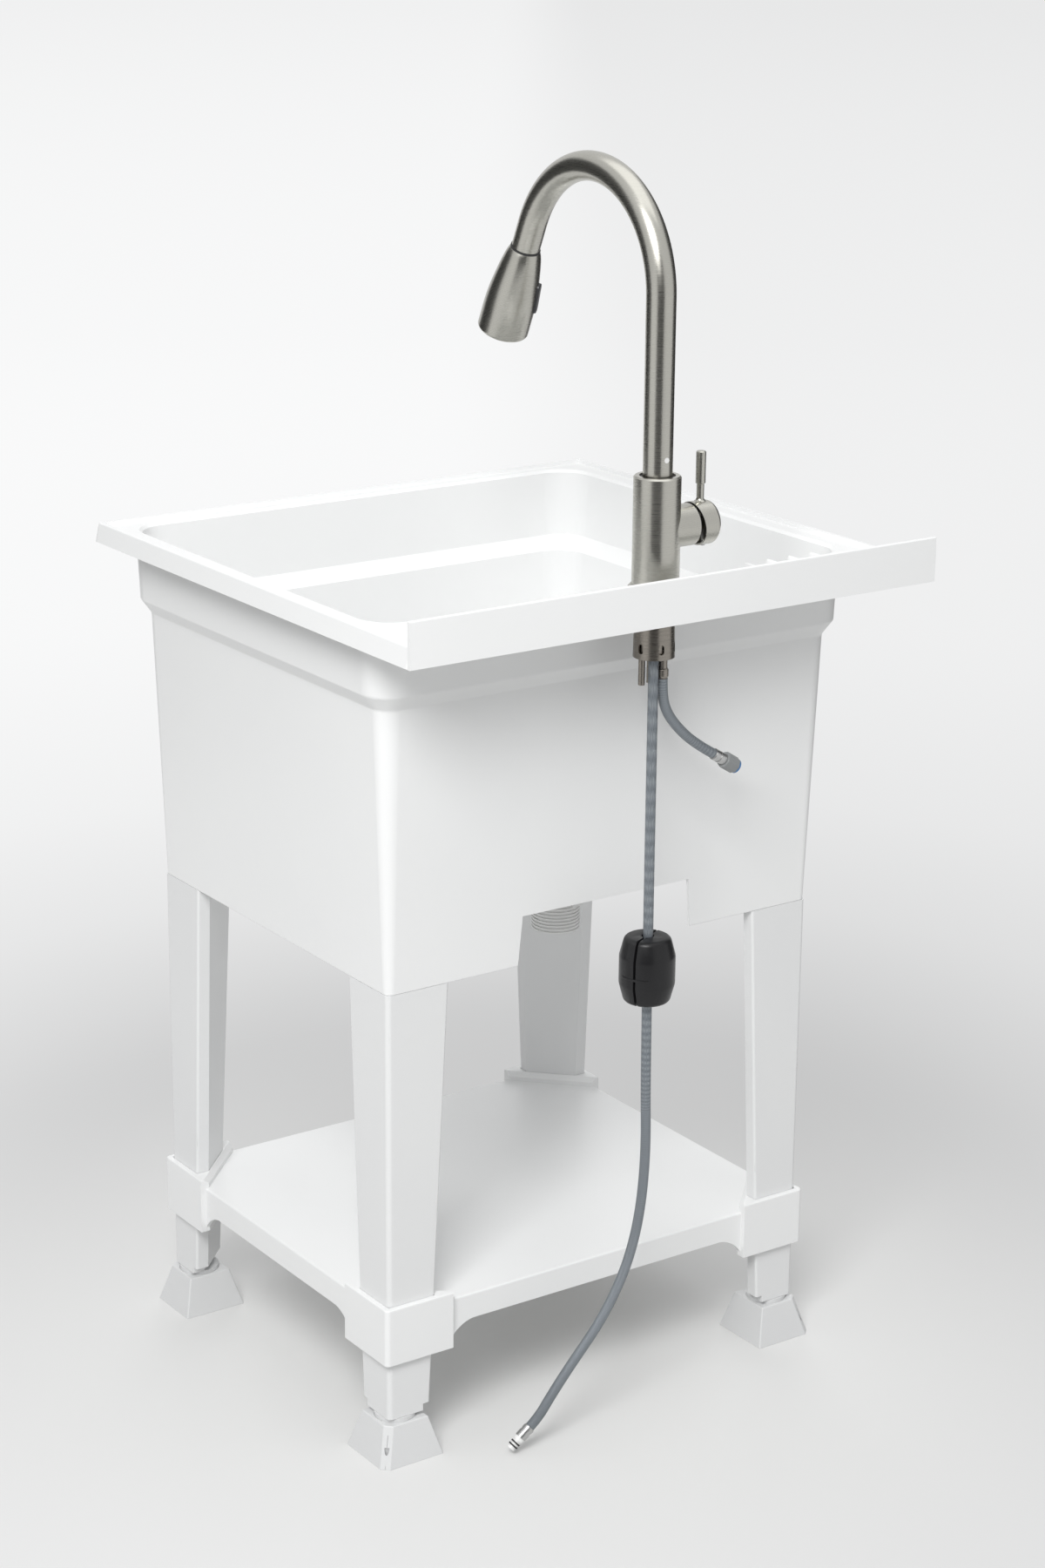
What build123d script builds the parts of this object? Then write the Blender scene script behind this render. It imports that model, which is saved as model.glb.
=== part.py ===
"""Utility laundry sink on four corner legs, with a deck-mounted pull-out mixer tap.

Millimetres, +Z up, +Y towards the back (the wall side), +X to the left of someone facing the sink's back.
The origin is on the floor, in the middle of the rim's footprint.
"""
from build123d import *
from math import atan2, cos, degrees, pi, radians, sin, sqrt, tan
import os

os.makedirs("parts", exist_ok=True)

# ---------------------------------------------------------------- driving dimensions: fits
slip = 0.3              # gap round a loose part, and between parts that move past each other
snug = 0.1              # gap round a part that is pressed or screwed home

# ---------------------------------------------------------------- driving dimensions: tub
rim_width = 610.0
rim_depth = 597.0
rim_height = 866.0      # top of the bead round the rim, above the floor
rim_corner = 7.0
lip_height = 19.5
lip_flare = 3.8         # how far the lip leans in at its top
bead_height = 4.0
bead_width = 5.0
splash_rise = 25.0
splash_wall = 4.0
wall = 4.0
side_ledge = 26.0       # rim edge to the apron, at the sides
front_ledge = 19.0
rear_deck = 94.5
apron_height = 72.0
apron_draft = 3.0
apron_corner = 32.0
step_height = 15.0
step_width = 11.0
skirt_height = 283.0
skirt_draft = 10.0
step_edge = 4.0         # soft edges at the step and at the skirt's lower end
skirt_edge = 1.2
bead_edge = 1.5
splash_edge = 1.5
basin_corner = 32.0
basin_roll = 3.0        # rolled edge where the basin meets the rim
floor_rise = 54.0       # basin floor above the skirt's lower edge
floor_wall = 5.0
drain_boss = 7.0        # how much thicker the floor is round the drain
drain_boss_radius = 54.0
floor_radius = 22.0
dish_radius = 60.0
dish_depth = 3.0
notch_width = 210.0
notch_top_width = 202.0
notch_height = 51.5
web_wall = 3.0
soap_ribs = 4
soap_pitch = 27.0
soap_rib_wall = 3.0
soap_rib_height = 7.0
soap_rib_edge = 1.2
soap_rib_length = 70.0
soap_centre = -180.0
soap_setback = 5.0
tap_to_splash = 45.5    # tap axis to the splash's front face
deck_hole_radius = 18.0

# ---------------------------------------------------------------- driving dimensions: drain
drain_from_back = 85.5  # drain axis to the skirt's rear face
drain_flange_radius = 43.0
drain_flange_wall = 3.0
drain_recess = 5.0
drain_tail_radius = 24.3
tail_thread_pitch = 3.5
tail_thread_depth = 1.2
tail_threads = 9
drain_tail_drop = 5.0   # how far the tail hangs below the skirt
drain_bore_radius = 19.0
strainer_radius = 20.3
strainer_wall = 1.5
strainer_depth = 6.0
strainer_hole_radius = 2.0
strainer_rows = ((6, 6.8), (10, 13.5))     # holes, and the radius of their circle
gasket_wall = 3.0
gasket_width = 10.0
locknut_height = 12.0
locknut_width = 9.5
locknut_lugs = 8
locknut_lug_width = 9.0
locknut_lug = 3.5
stopper_head_radius = 26.0
stopper_head = 3.0
stopper_plug = 3.5
knob_radius = 5.0
knob_height = 11.0
knob_edge = 2.5

# ---------------------------------------------------------------- driving dimensions: stand
leg_top_width = 70.0
leg_end_width = 48.0
leg_return = 14.0       # straight part of a leg's end faces, before the slanted inner face
leg_wall = 3.2
leg_edge = 5.0
leg_flank_edge = 2.5
leg_end = 52.0          # lower end of the leg's flanks
leg_tongue = 38.0       # how far a leg reaches up inside the skirt
neck_width = 40.0
neck_height = 7.5
leveller_inset = 19.0   # leveller axis from both outer faces of its leg
stem_radius = 9.0
stem_length = 40.0
stem_edge = 1.0
nut_wall = 3.5
disc_radius = 21.0
disc_recess = 5.0
foot_base = 70.0
foot_top = 48.0
foot_height = 40.0
foot_wall = 3.5
foot_chamfer = 7.0
foot_edge = 1.5
foot_screw_radius = 2.5
foot_screw_inset = 9.0

shelf_height = 157.0
shelf_wall = 4.0
shelf_lip = 27.0
socket_wall = 6.0
socket_width = 72.0     # from the leg's outer face to the end of the socket
socket_low = 107.0
socket_high = 167.0
socket_bevel = 5.0
socket_edge = 1.5
shelf_edge = 2.0
bracket_length = 38.0
bracket_low = 112.0

# ---------------------------------------------------------------- driving dimensions: tap
base_radius = 26.0
base_gasket_height = 2.5
base_gasket_inset = 1.0
base_height = 10.5
base_shoulder = 2.8     # chamfer round the top of the base
body_radius = 22.5
body_height = 103.0
body_edge = 1.5
body_plate = 12.0
body_bore = 12.5
shank_radius = 17.0
shank_bore = 15.6
shank_thread = 8.0
shank_length = 69.0     # below the body
deck_washer_radius = 22.0
deck_washer_wall = 3.0
clamp_washer_wall = 1.5
nut_height = 49.0
nut_top_radius = 18.9
nut_end_radius = 20.0
nut_shell = 2.0
nut_thread = 15.0
nut_slots = 6
nut_slot_radius = 2.8
nut_slot_length = 9.5
nut_slot_rise = 10.2    # slot centres above the nut's lower end
nut_slot_turn = 14.5    # first slot, from +X towards +Y

hose_radius = 5.0
hose_way = 5.6          # bore for the hose in the tap's base
guide_height = 6.0
tail_radius = 3.2
tail_socket = 8.0
inlet_drop = 30.0       # how far an inlet tail hangs below the guide
cold_x = 9.0
cold_dy = -6.5
hot_x = -3.0
hot_dy = -9.5
outlet_x = -11.0
ferrule_radius = 5.6
ferrule_length = 11.0
ferrule_edge = 3.0
ferrule_neck = 4.4
ferrule_drop = 25.0     # ferrule's lower end below the guide

spout_radius = 14.0
spout_wall = 1.5
spout_seat = 20.0       # how deep the tube stands in the body
spout_straight = 164.5  # straight part above the body
spout_bend = 108.0
spout_tilt = 24.5       # nozzle axis, from straight down
spout_nose = 27.0
bush_radius = 17.0
bush_sink = 1.5
thrust_wall = 2.0
plug_radius = 2.6
plug_rise = 16.0
dock_radius = 9.0
dock_length = 12.0

collar_height = 2.0
head_length = 94.0
head_top_radius = 14.8
head_neck_radius = 18.4
head_neck = 13.0        # places along the head, from its top
head_mid_radius = 22.2
head_mid = 35.0
head_end_radius = 25.3
head_full = 76.0
head_wall = 1.8
head_edge = 3.2
core_radius = 8.0
core_flange_radius = 12.0
core_flange_wall = 3.0
core_seat = 20.0        # how deep the hose end sits in the core
core_bore = 4.0
nozzle_radius = 19.5
nozzle_wall = 5.0
nozzle_sink = 1.5
nozzle_rows = ((6, 8.0), (12, 15.0))
nozzle_nub_radius = 1.2
nozzle_nub_height = 1.2
button_length = 32.0
button_width = 11.0
button_depth = 5.5
button_place = 49.0     # button centre from the top of the head
button_turn = 44.0      # round the head, from its back towards the tap's handle
button_proud = 2.6
button_gap = 0.5
button_lean = 5.2       # slope of the shell's side under the button
button_edge = 1.2
button_pin_radius = 1.2
button_pin_length = 16.0
button_pin_drop = 4.3   # pin axis below the shell's side

valve_rise = 52.0       # valve axis above the body's lower end
valve_radius = 20.0
valve_reach = 37.5      # end of the fixed part, from the tap's axis
cartridge_radius = 17.2
cartridge_inner = 16.5
cartridge_outer = 34.0
carrier_radius = 11.0
carrier_depth = 5.0
carrier_slot = 18.0
bonnet_radius = 19.0
bonnet_bore = 12.0
bonnet_proud = 1.4
cap_radius = 21.0
cap_wall = 1.7
cap_end_wall = 2.2
cap_start = 39.3        # top of the slanted rim, from the tap's axis
cap_low_start = 46.0
cap_end = 62.0
cap_edge = 4.5
cap_boss_radius = 6.5
cap_boss_length = 13.0
valve_stem_radius = 3.5
stem_inner = 31.0
lever_reach = 50.5
lever_radius = 3.6
lever_neck = 16.0       # thin part above the cap
lever_flare = 5.6
flare_height = 3.5
grip_radius = 4.75
grip_length = 31.5
grip_edge = 1.0
set_screw_reach = 55.0
set_screw_radius = 2.0
set_screw_proud = 1.3

# ---------------------------------------------------------------- driving dimensions: hoses
hose_join = 9.0         # joint of the hanging hose and the hose in the spout, above the guide
crimp_length = 14.0
crimp_radius = 6.0
crimp_waist = 0.5
nipple_radius = 4.4
nipple_length = 14.5
nipple_collar = 4.0
nipple_collar_radius = 5.6
oring_radius = 5.2
oring_width = 1.6
oring_groove = 3.8
oring_pitch = 3.6
oring_place = 6.0       # first O-ring from the crimp
weight_radius = 29.8
weight_height = 79.0
weight_band = 29.0
weight_shoulder = 20.0
weight_low_radius = 15.0
weight_top_radius = 18.0
weight_seam = 2.8
weight_drop = 274.5     # weight's top below the nut
weight_screw_radius = 2.2
weight_screw_head = 4.0
weight_screw_offset = 16.0
weight_screw_reach = 17.0

end_crimp_length = 16.0
end_crimp_radius = 5.8
connector_radius = 8.4
connector_length = 15.0
connector_bore = 5.6
connector_floor = 1.8
release_radius = 7.2
release_length = 6.0
release_proud = 2.6

# ---------------------------------------------------------------- levels and places worked out from them
rim_surface = rim_height - bead_height
lip_bottom = rim_height - lip_height
apron_bottom = rim_surface - apron_height
step_bottom = apron_bottom - step_height
skirt_bottom = step_bottom - skirt_height
apron_width = rim_width - 2 * side_ledge
apron_depth = rim_depth - front_ledge - rear_deck
tub_centre = (front_ledge - rear_deck) / 2
step_inset = apron_draft + step_width
skirt_inset = step_inset + skirt_draft
skirt_corner = apron_corner - skirt_inset
floor_top = skirt_bottom + floor_rise
floor_under = floor_top - floor_wall
cavity_draft = skirt_draft * (floor_under - skirt_bottom) / skirt_height
skirt_taper = degrees(atan2(skirt_draft, skirt_height))
apron_taper = degrees(atan2(apron_draft, apron_height))
step_taper = degrees(atan2(step_width, step_height))
lip_taper = degrees(atan2(lip_flare, lip_height))
splash_top = lip_bottom + lip_height + splash_rise
roll_taper = 45
boss_under = floor_under - drain_boss
corner_x = apron_width / 2 - skirt_inset
corner_y = tub_centre + apron_depth / 2 - skirt_inset
splash_face = rim_depth / 2 - splash_wall
tap_y = splash_face - tap_to_splash
drain_y = corner_y - drain_from_back
mid_plane = Plane(origin=(0, tub_centre, 0), x_dir=(1, 0, 0), z_dir=(0, 1, 0))
web_near = leg_top_width + leg_return - sqrt(2) * wall    # across plus along, at the web's face by the leg
web_far = web_near + sqrt(2) * web_wall
web_outline = ((wall / 2, web_near - wall / 2), (web_near - wall / 2, wall / 2),
               (web_far - wall / 2, wall / 2), (wall / 2, web_far - wall / 2))
CORNERS = (("rear_right", False, False), ("rear_left", True, False),
           ("front_right", False, True), ("front_left", True, True))


# ================================================================ tub
def tub_section(height, inset, corner):
    """One level of the tub's walls: a rounded rectangle, drawn in by inset."""
    with BuildSketch(Plane.XY.offset(height)) as section:
        with Locations((0, tub_centre)):
            RectangleRounded(apron_width - 2 * inset, apron_depth - 2 * inset, corner)
    return section.sketch.face()


def rim_section(height, inset=0):
    """Footprint of the rim at a level, drawn in by inset."""
    with BuildSketch(Plane.XY.offset(height)) as section:
        RectangleRounded(rim_width - 2 * inset, rim_depth - 2 * inset, rim_corner - inset / 2)
    return section.sketch.face()


with BuildPart() as basin_core:
    extrude(tub_section(step_bottom, step_inset + wall, basin_corner), amount=floor_top - step_bottom,
            taper=skirt_taper)
    fillet(basin_core.edges().group_by(Axis.Z)[0], floor_radius)
    loft([tub_section(step_bottom, step_inset + wall, basin_corner),
          tub_section(apron_bottom, apron_draft + wall, basin_corner)])
    extrude(tub_section(rim_surface, wall, basin_corner + apron_draft), amount=-apron_height, taper=apron_taper)
    extrude(tub_section(rim_surface, wall - basin_roll, basin_corner + apron_draft + basin_roll),
            amount=-basin_roll, taper=roll_taper)

with BuildPart() as tub_walls:
    extrude(tub_section(rim_surface, 0, apron_corner), amount=-apron_height, taper=apron_taper)
    extrude(tub_section(apron_bottom, apron_draft, apron_corner - apron_draft), amount=-step_height,
            taper=step_taper)
    extrude(tub_section(step_bottom, step_inset, apron_corner - step_inset), amount=-skirt_height,
            taper=skirt_taper)
    for level, edge_radius in ((apron_bottom, step_edge), (step_bottom, step_edge), (skirt_bottom, skirt_edge)):
        fillet(tub_walls.edges().filter_by_position(Axis.Z, level - slip, level + slip), edge_radius)

with BuildPart() as rim:
    extrude(rim_section(lip_bottom), amount=lip_height, taper=lip_taper)
    fillet(rim.edges().group_by(Axis.Z)[-1], bead_edge)

with BuildPart() as tub:
    # rim with its turned-down lip, hollow below
    add(rim.part)
    extrude(rim_section(lip_bottom, wall), amount=rim_surface - wall - lip_bottom, taper=lip_taper,
            mode=Mode.SUBTRACT)
    # drafted apron, sloped step and drafted skirt
    add(tub_walls.part)
    # sunk rim surface and deck, inside the bead
    with BuildSketch(Plane.XY.offset(rim_surface)):
        bead_front = -rim_depth / 2 + lip_flare + bead_width
        with Locations((0, (splash_face + bead_front) / 2)):
            Rectangle(rim_width - 2 * lip_flare - 2 * bead_width, splash_face - bead_front)
    extrude(amount=rim_height, mode=Mode.SUBTRACT)
    # splash upstand along the back
    with BuildSketch(Plane.XY.offset(lip_bottom)):
        with Locations((0, splash_face + splash_wall / 2)):
            Rectangle(rim_width, splash_wall)
    extrude(amount=splash_top - lip_bottom)
    fillet(tub.edges().filter_by_position(Axis.Z, splash_top - slip, splash_top + slip), splash_edge)
    # basin, with a shallow dish round the drain
    add(basin_core.part, mode=Mode.SUBTRACT)
    # open skirt below the floor
    extrude(tub_section(floor_under, skirt_inset + wall - cavity_draft, skirt_corner - wall + cavity_draft),
            amount=skirt_bottom - floor_under, taper=skirt_taper, mode=Mode.SUBTRACT)
    # thicker boss round the drain, with its recess and hole
    with Locations((0, drain_y, boss_under)):
        Cylinder(drain_boss_radius, drain_boss, align=(Align.CENTER, Align.CENTER, Align.MIN))
    with Locations((0, drain_y, floor_top)):
        Cone(drain_flange_radius + slip, dish_radius, dish_depth, align=(Align.CENTER, Align.CENTER, Align.MAX),
             mode=Mode.SUBTRACT)
        Cylinder(drain_flange_radius + slip, dish_depth + drain_recess,
                 align=(Align.CENTER, Align.CENTER, Align.MAX), mode=Mode.SUBTRACT)
        Cylinder(drain_tail_radius + slip, floor_rise, align=(Align.CENTER, Align.CENTER, Align.MAX),
                 mode=Mode.SUBTRACT)
    # pipe notch in the rear skirt, a little wider at its foot
    with BuildSketch(Plane(origin=(0, corner_y, skirt_bottom), x_dir=(1, 0, 0), z_dir=(0, 1, 0))):
        with BuildLine():
            Polyline((-notch_width / 2, 0), (notch_width / 2, 0), (notch_top_width / 2, -notch_height),
                     (-notch_top_width / 2, -notch_height), close=True)
        make_face()
    extrude(amount=2 * wall, both=True, mode=Mode.SUBTRACT)
    # tap hole in the deck
    with Locations((0, tap_y, rim_surface)):
        Cylinder(deck_hole_radius, 4 * wall, mode=Mode.SUBTRACT)
    # ribs of the soap tray
    with BuildSketch(Plane.XY.offset(rim_surface)):
        rib_y = splash_face - rear_deck + splash_wall + soap_setback + soap_rib_length / 2
        with Locations((soap_centre, rib_y)):
            with GridLocations(soap_pitch, 1, soap_ribs, 1):
                SlotOverall(soap_rib_length, soap_rib_wall, rotation=90)
    extrude(amount=soap_rib_height)
    rib_top = rim_surface + soap_rib_height
    fillet(tub.edges().filter_by_position(Axis.Z, rib_top - slip, rib_top + slip), soap_rib_edge)
    # slanted webs that close the four leg sockets
    for side in (-1, 1):
        for end in (-1, 1):
            with BuildSketch(Plane.XY.offset(skirt_bottom + wall)):
                with BuildLine():
                    Polyline(*[(side * (corner_x - across), tub_centre + end * (corner_y - tub_centre - along))
                               for across, along in web_outline], close=True)
                make_face()
            extrude(amount=floor_under - skirt_bottom - wall)

tub.part.label = "tub"
export_step(tub.part, "parts/tub.step")

# ================================================================ drain
recess_level = floor_top - dish_depth - drain_recess
flange_level = recess_level + drain_flange_wall
tail_end = skirt_bottom - drain_tail_drop
strainer_level = flange_level - strainer_depth

with BuildPart(Plane.XY.offset(recess_level)) as drain_body:
    with Locations((0, drain_y)):
        Cylinder(drain_flange_radius, drain_flange_wall, align=(Align.CENTER, Align.CENTER, Align.MIN))
        Cylinder(drain_tail_radius, recess_level - tail_end, align=(Align.CENTER, Align.CENTER, Align.MAX))
        Hole(drain_bore_radius)
    for thread in range(tail_threads):
        with BuildSketch(Plane.XY.offset(tail_end + (thread + 0.5) * tail_thread_pitch)):
            with Locations((0, drain_y)):
                Circle(2 * drain_tail_radius)
                Circle(drain_tail_radius - tail_thread_depth, mode=Mode.SUBTRACT)
        extrude(amount=tail_thread_pitch / 2, mode=Mode.SUBTRACT)
    with Locations((0, drain_y, drain_flange_wall)):
        Cylinder(strainer_radius + snug, strainer_depth, align=(Align.CENTER, Align.CENTER, Align.MAX),
                 mode=Mode.SUBTRACT)
    chamfer(drain_body.edges().filter_by(GeomType.CIRCLE).group_by(Axis.Z)[-1].sort_by(SortBy.RADIUS)[-1],
            drain_flange_wall / 2)
drain_body.part.label = "drain_body"
export_step(drain_body.part, "parts/drain_body.step")

with BuildPart() as drain_gasket:
    with BuildSketch(Plane.XY.offset(boss_under - gasket_wall)):
        with Locations((0, drain_y)):
            Circle(drain_tail_radius + gasket_width)
            Circle(drain_tail_radius + snug, mode=Mode.SUBTRACT)
    extrude(amount=gasket_wall)
drain_gasket.part.label = "drain_gasket"
export_step(drain_gasket.part, "parts/drain_gasket.step")

with BuildPart() as drain_locknut:
    with BuildSketch(Plane.XY.offset(boss_under - gasket_wall - locknut_height)):
        with Locations((0, drain_y)):
            Circle(drain_tail_radius + locknut_width)
            with PolarLocations(drain_tail_radius + locknut_width, locknut_lugs):
                Rectangle(2 * locknut_lug, locknut_lug_width)
            Circle(drain_tail_radius + snug, mode=Mode.SUBTRACT)
    extrude(amount=locknut_height)
drain_locknut.part.label = "drain_locknut"
export_step(drain_locknut.part, "parts/drain_locknut.step")

with BuildPart() as drain_strainer:
    with BuildSketch(Plane.XY.offset(strainer_level)):
        with Locations((0, drain_y)):
            Circle(strainer_radius)
            for count, circle_radius in strainer_rows:
                with PolarLocations(circle_radius, count):
                    Circle(strainer_hole_radius, mode=Mode.SUBTRACT)
    extrude(amount=strainer_wall)
drain_strainer.part.label = "drain_strainer"
export_step(drain_strainer.part, "parts/drain_strainer.step")

with BuildPart(Plane.XY.offset(flange_level)) as drain_stopper:
    with Locations((0, drain_y)):
        Cylinder(strainer_radius - slip, stopper_plug, align=(Align.CENTER, Align.CENTER, Align.MAX))
        Cylinder(stopper_head_radius, stopper_head, align=(Align.CENTER, Align.CENTER, Align.MIN))
        Cylinder(knob_radius, stopper_head + knob_height, align=(Align.CENTER, Align.CENTER, Align.MIN))
    fillet(drain_stopper.edges().filter_by(GeomType.CIRCLE).group_by(Axis.Z)[-1], knob_edge)
drain_stopper.part.label = "drain_stopper"
export_step(drain_stopper.part, "parts/drain_stopper.step")

# ================================================================ legs, levellers and feet
leg_slope = (leg_top_width - leg_end_width) / (skirt_bottom - leg_end)
neck_end = leg_end - neck_height
hollow_bottom = leg_end + leg_wall
hollow_top = skirt_bottom - leg_wall
leveller_x = corner_x - leveller_inset
leveller_y = corner_y - leveller_inset


def leg_width_at(height):
    """Width of a leg's outer faces, which narrow towards the floor."""
    return leg_end_width + leg_slope * (height - leg_end)


def leg_section(height, width, inset):
    """Corner section of the rear leg on the +X side: two outer faces, two returns and a slanted inner face."""
    back = leg_return - inset * (sqrt(2) - 1)
    end = width - inset
    with BuildSketch(Plane.XY.offset(height)) as section:
        with BuildLine():
            Polyline((corner_x - inset, corner_y - inset), (corner_x - end, corner_y - inset),
                     (corner_x - end, corner_y - back), (corner_x - back, corner_y - end),
                     (corner_x - inset, corner_y - end), close=True)
        make_face()
    return section.sketch.face()


def corner_copies(piece, stem):
    """Write the piece at all four corners, mirrored across the tub's two middle planes."""
    for place, across, forward in CORNERS:
        with BuildPart() as copy:
            add(piece.part)
            if across:
                mirror(about=Plane.YZ, mode=Mode.REPLACE)
            if forward:
                mirror(about=mid_plane, mode=Mode.REPLACE)
        copy.part.label = f"{stem}_{place}"
        export_step(copy.part, f"parts/{stem}_{place}.step")


with BuildPart() as leg:
    loft([leg_section(leg_end, leg_end_width, 0), leg_section(skirt_bottom, leg_top_width, 0)])
    flank_edges = leg.edges().filter_by(lambda edge: edge.length > leg_tongue + leg_top_width)
    fillet(flank_edges.sort_by(lambda edge: edge.center().X + edge.center().Y)[-3:-1], leg_flank_edge)
    extrude(leg_section(neck_end, neck_width, 0), amount=neck_height)
    outer_edge = leg.edges().filter_by(Axis.Z).group_by(Axis.X)[-1].group_by(Axis.Y)[-1]
    fillet(outer_edge, leg_edge)
    extrude(leg_section(skirt_bottom, leg_top_width, wall + slip), amount=leg_tongue)
    tongue_edge = leg.edges(Select.LAST).filter_by(Axis.Z).group_by(Axis.X)[-1].group_by(Axis.Y)[-1]
    fillet(tongue_edge, leg_edge)
    loft([leg_section(hollow_bottom, leg_width_at(hollow_bottom), leg_wall),
          leg_section(hollow_top, leg_width_at(hollow_top), leg_wall)], mode=Mode.SUBTRACT)
    extrude(leg_section(hollow_top, leg_top_width, wall + slip + leg_wall), amount=leg_tongue,
            mode=Mode.SUBTRACT)
    with Locations((leveller_x, leveller_y, neck_end)):
        Cylinder(stem_radius + slip + nut_wall, stem_length, align=(Align.CENTER, Align.CENTER, Align.MIN))
        Cylinder(stem_radius + slip, stem_length, align=(Align.CENTER, Align.CENTER, Align.MIN),
                 mode=Mode.SUBTRACT)
corner_copies(leg, "leg")

disc_bottom = foot_height - disc_recess
disc_top = neck_end - slip
with BuildPart() as leveller:
    with Locations((leveller_x, leveller_y, disc_bottom)):
        Cylinder(disc_radius, disc_top - disc_bottom, align=(Align.CENTER, Align.CENTER, Align.MIN))
    with Locations((leveller_x, leveller_y, disc_top)):
        Cylinder(stem_radius, stem_length, align=(Align.CENTER, Align.CENTER, Align.MIN))
    chamfer(leveller.edges().filter_by(GeomType.CIRCLE).group_by(Axis.Z)[-1], stem_edge)
corner_copies(leveller, "leveller")


def foot_section(size):
    """Footprint of a floor cap, a square about its leveller."""
    with BuildSketch() as section:
        with Locations((leveller_x, leveller_y)):
            Rectangle(size, size)
    return section.sketch.face()


screw_x = leveller_x + foot_base / 2 - foot_screw_inset
screw_y = leveller_y + foot_base / 2 - foot_screw_inset
foot_slope = (foot_base - foot_top) / foot_height
foot_taper = degrees(atan2(foot_slope, 2))
cavity_height = disc_bottom - foot_wall

with BuildPart() as foot_core:
    extrude(foot_section(foot_base - 2 * foot_wall), amount=cavity_height, taper=foot_taper)
    with Locations((screw_x, screw_y, 0)):
        Cylinder(foot_screw_radius + foot_wall, foot_height, mode=Mode.SUBTRACT)

with BuildPart() as foot:
    extrude(foot_section(foot_base), amount=foot_height, taper=foot_taper)
    slant_edges = foot.edges().filter_by(
        lambda edge: edge.length > foot_height and abs(edge.tangent_at(0.5).Z) > 0.5)
    chamfer(slant_edges.sort_by(lambda edge: edge.center().X + edge.center().Y)[-1], foot_chamfer)
    fillet(foot.edges().filter_by(lambda edge: edge.center().Z > foot_height / 4), foot_edge)
    add(foot_core.part, mode=Mode.SUBTRACT)
    with Locations((leveller_x, leveller_y, foot_height)):
        Cylinder(disc_radius + slip, disc_recess, align=(Align.CENTER, Align.CENTER, Align.MAX),
                 mode=Mode.SUBTRACT)
    with Locations((screw_x, screw_y, 0)):
        Cylinder(foot_screw_radius, foot_height, mode=Mode.SUBTRACT)
corner_copies(foot, "foot")

# ================================================================ shelf
socket_back = leg_width_at(socket_high) + leg_return + socket_wall * sqrt(2) - socket_width

with BuildPart() as socket:
    with BuildSketch(Plane.XY.offset(socket_low)):
        with BuildLine():
            Polyline((corner_x + socket_wall, corner_y + socket_wall),
                     (corner_x - socket_width, corner_y + socket_wall),
                     (corner_x - socket_width, corner_y - socket_back),
                     (corner_x - socket_back, corner_y - socket_width),
                     (corner_x + socket_wall, corner_y - socket_width), close=True)
        make_face()
    extrude(amount=socket_high - socket_low)
    inner_edge = socket.edges().group_by(Axis.Z)[-1].sort_by(lambda edge: edge.center().X + edge.center().Y)[0]
    chamfer(inner_edge, socket_bevel)
    fillet(socket.edges().filter_by(Axis.Z).group_by(Axis.X)[-1].group_by(Axis.Y)[-1], leg_edge)
    fillet(socket.edges().group_by(Axis.Z)[-1], socket_edge)
    # curved bracket from the socket up to the shelf's lip, on both outer faces
    with BuildSketch(Plane(origin=(corner_x - socket_width, corner_y, 0), x_dir=(-1, 0, 0), z_dir=(0, 1, 0))):
        with BuildLine():
            Line((-1, bracket_low), (0, bracket_low))
            RadiusArc((0, bracket_low), (bracket_length, shelf_height - shelf_lip), bracket_length)
            Line((bracket_length, shelf_height - shelf_lip), (bracket_length, shelf_height - shelf_wall))
            Line((bracket_length, shelf_height - shelf_wall), (-1, shelf_height - shelf_wall))
            Line((-1, shelf_height - shelf_wall), (-1, bracket_low))
        make_face()
    extrude(amount=-shelf_wall)
    with BuildSketch(Plane(origin=(corner_x, corner_y - socket_width, 0), x_dir=(0, -1, 0), z_dir=(-1, 0, 0))):
        with BuildLine():
            Line((-1, bracket_low), (0, bracket_low))
            RadiusArc((0, bracket_low), (bracket_length, shelf_height - shelf_lip), bracket_length)
            Line((bracket_length, shelf_height - shelf_lip), (bracket_length, shelf_height - shelf_wall))
            Line((bracket_length, shelf_height - shelf_wall), (-1, shelf_height - shelf_wall))
            Line((-1, shelf_height - shelf_wall), (-1, bracket_low))
        make_face()
    extrude(amount=shelf_wall)

with BuildPart() as socket_bore:
    loft([leg_section(socket_low, leg_width_at(socket_low), -slip),
          leg_section(socket_high, leg_width_at(socket_high), -slip)])

with BuildPart() as shelf:
    with BuildSketch(Plane.XY.offset(shelf_height)):
        with Locations((0, tub_centre)):
            Rectangle(2 * corner_x, 2 * (corner_y - tub_centre))
    extrude(amount=-shelf_lip)
    fillet(shelf.edges().group_by(Axis.Z)[-1], shelf_edge)
    with BuildSketch(Plane.XY.offset(shelf_height - shelf_wall)):
        with Locations((0, tub_centre)):
            Rectangle(2 * (corner_x - shelf_wall), 2 * (corner_y - tub_centre - shelf_wall))
    extrude(amount=-shelf_lip, mode=Mode.SUBTRACT)
    for solid, mode in ((socket.part, Mode.ADD), (socket_bore.part, Mode.SUBTRACT)):
        add(solid, mode=mode)
        add(solid.mirror(Plane.YZ), mode=mode)
        add(solid.mirror(mid_plane), mode=mode)
        add(solid.mirror(Plane.YZ).mirror(mid_plane), mode=mode)
shelf.part.label = "shelf"
export_step(shelf.part, "parts/shelf.step")

# ================================================================ tap: base, body and mounting
base_level = rim_surface + base_gasket_height
body_level = base_level + base_height
body_top = body_level + body_height
plate_level = body_level + shank_thread
deck_under = rim_surface - wall
shank_end = body_level - shank_length
cold_y = tap_y + cold_dy
hot_y = tap_y + hot_dy


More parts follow.
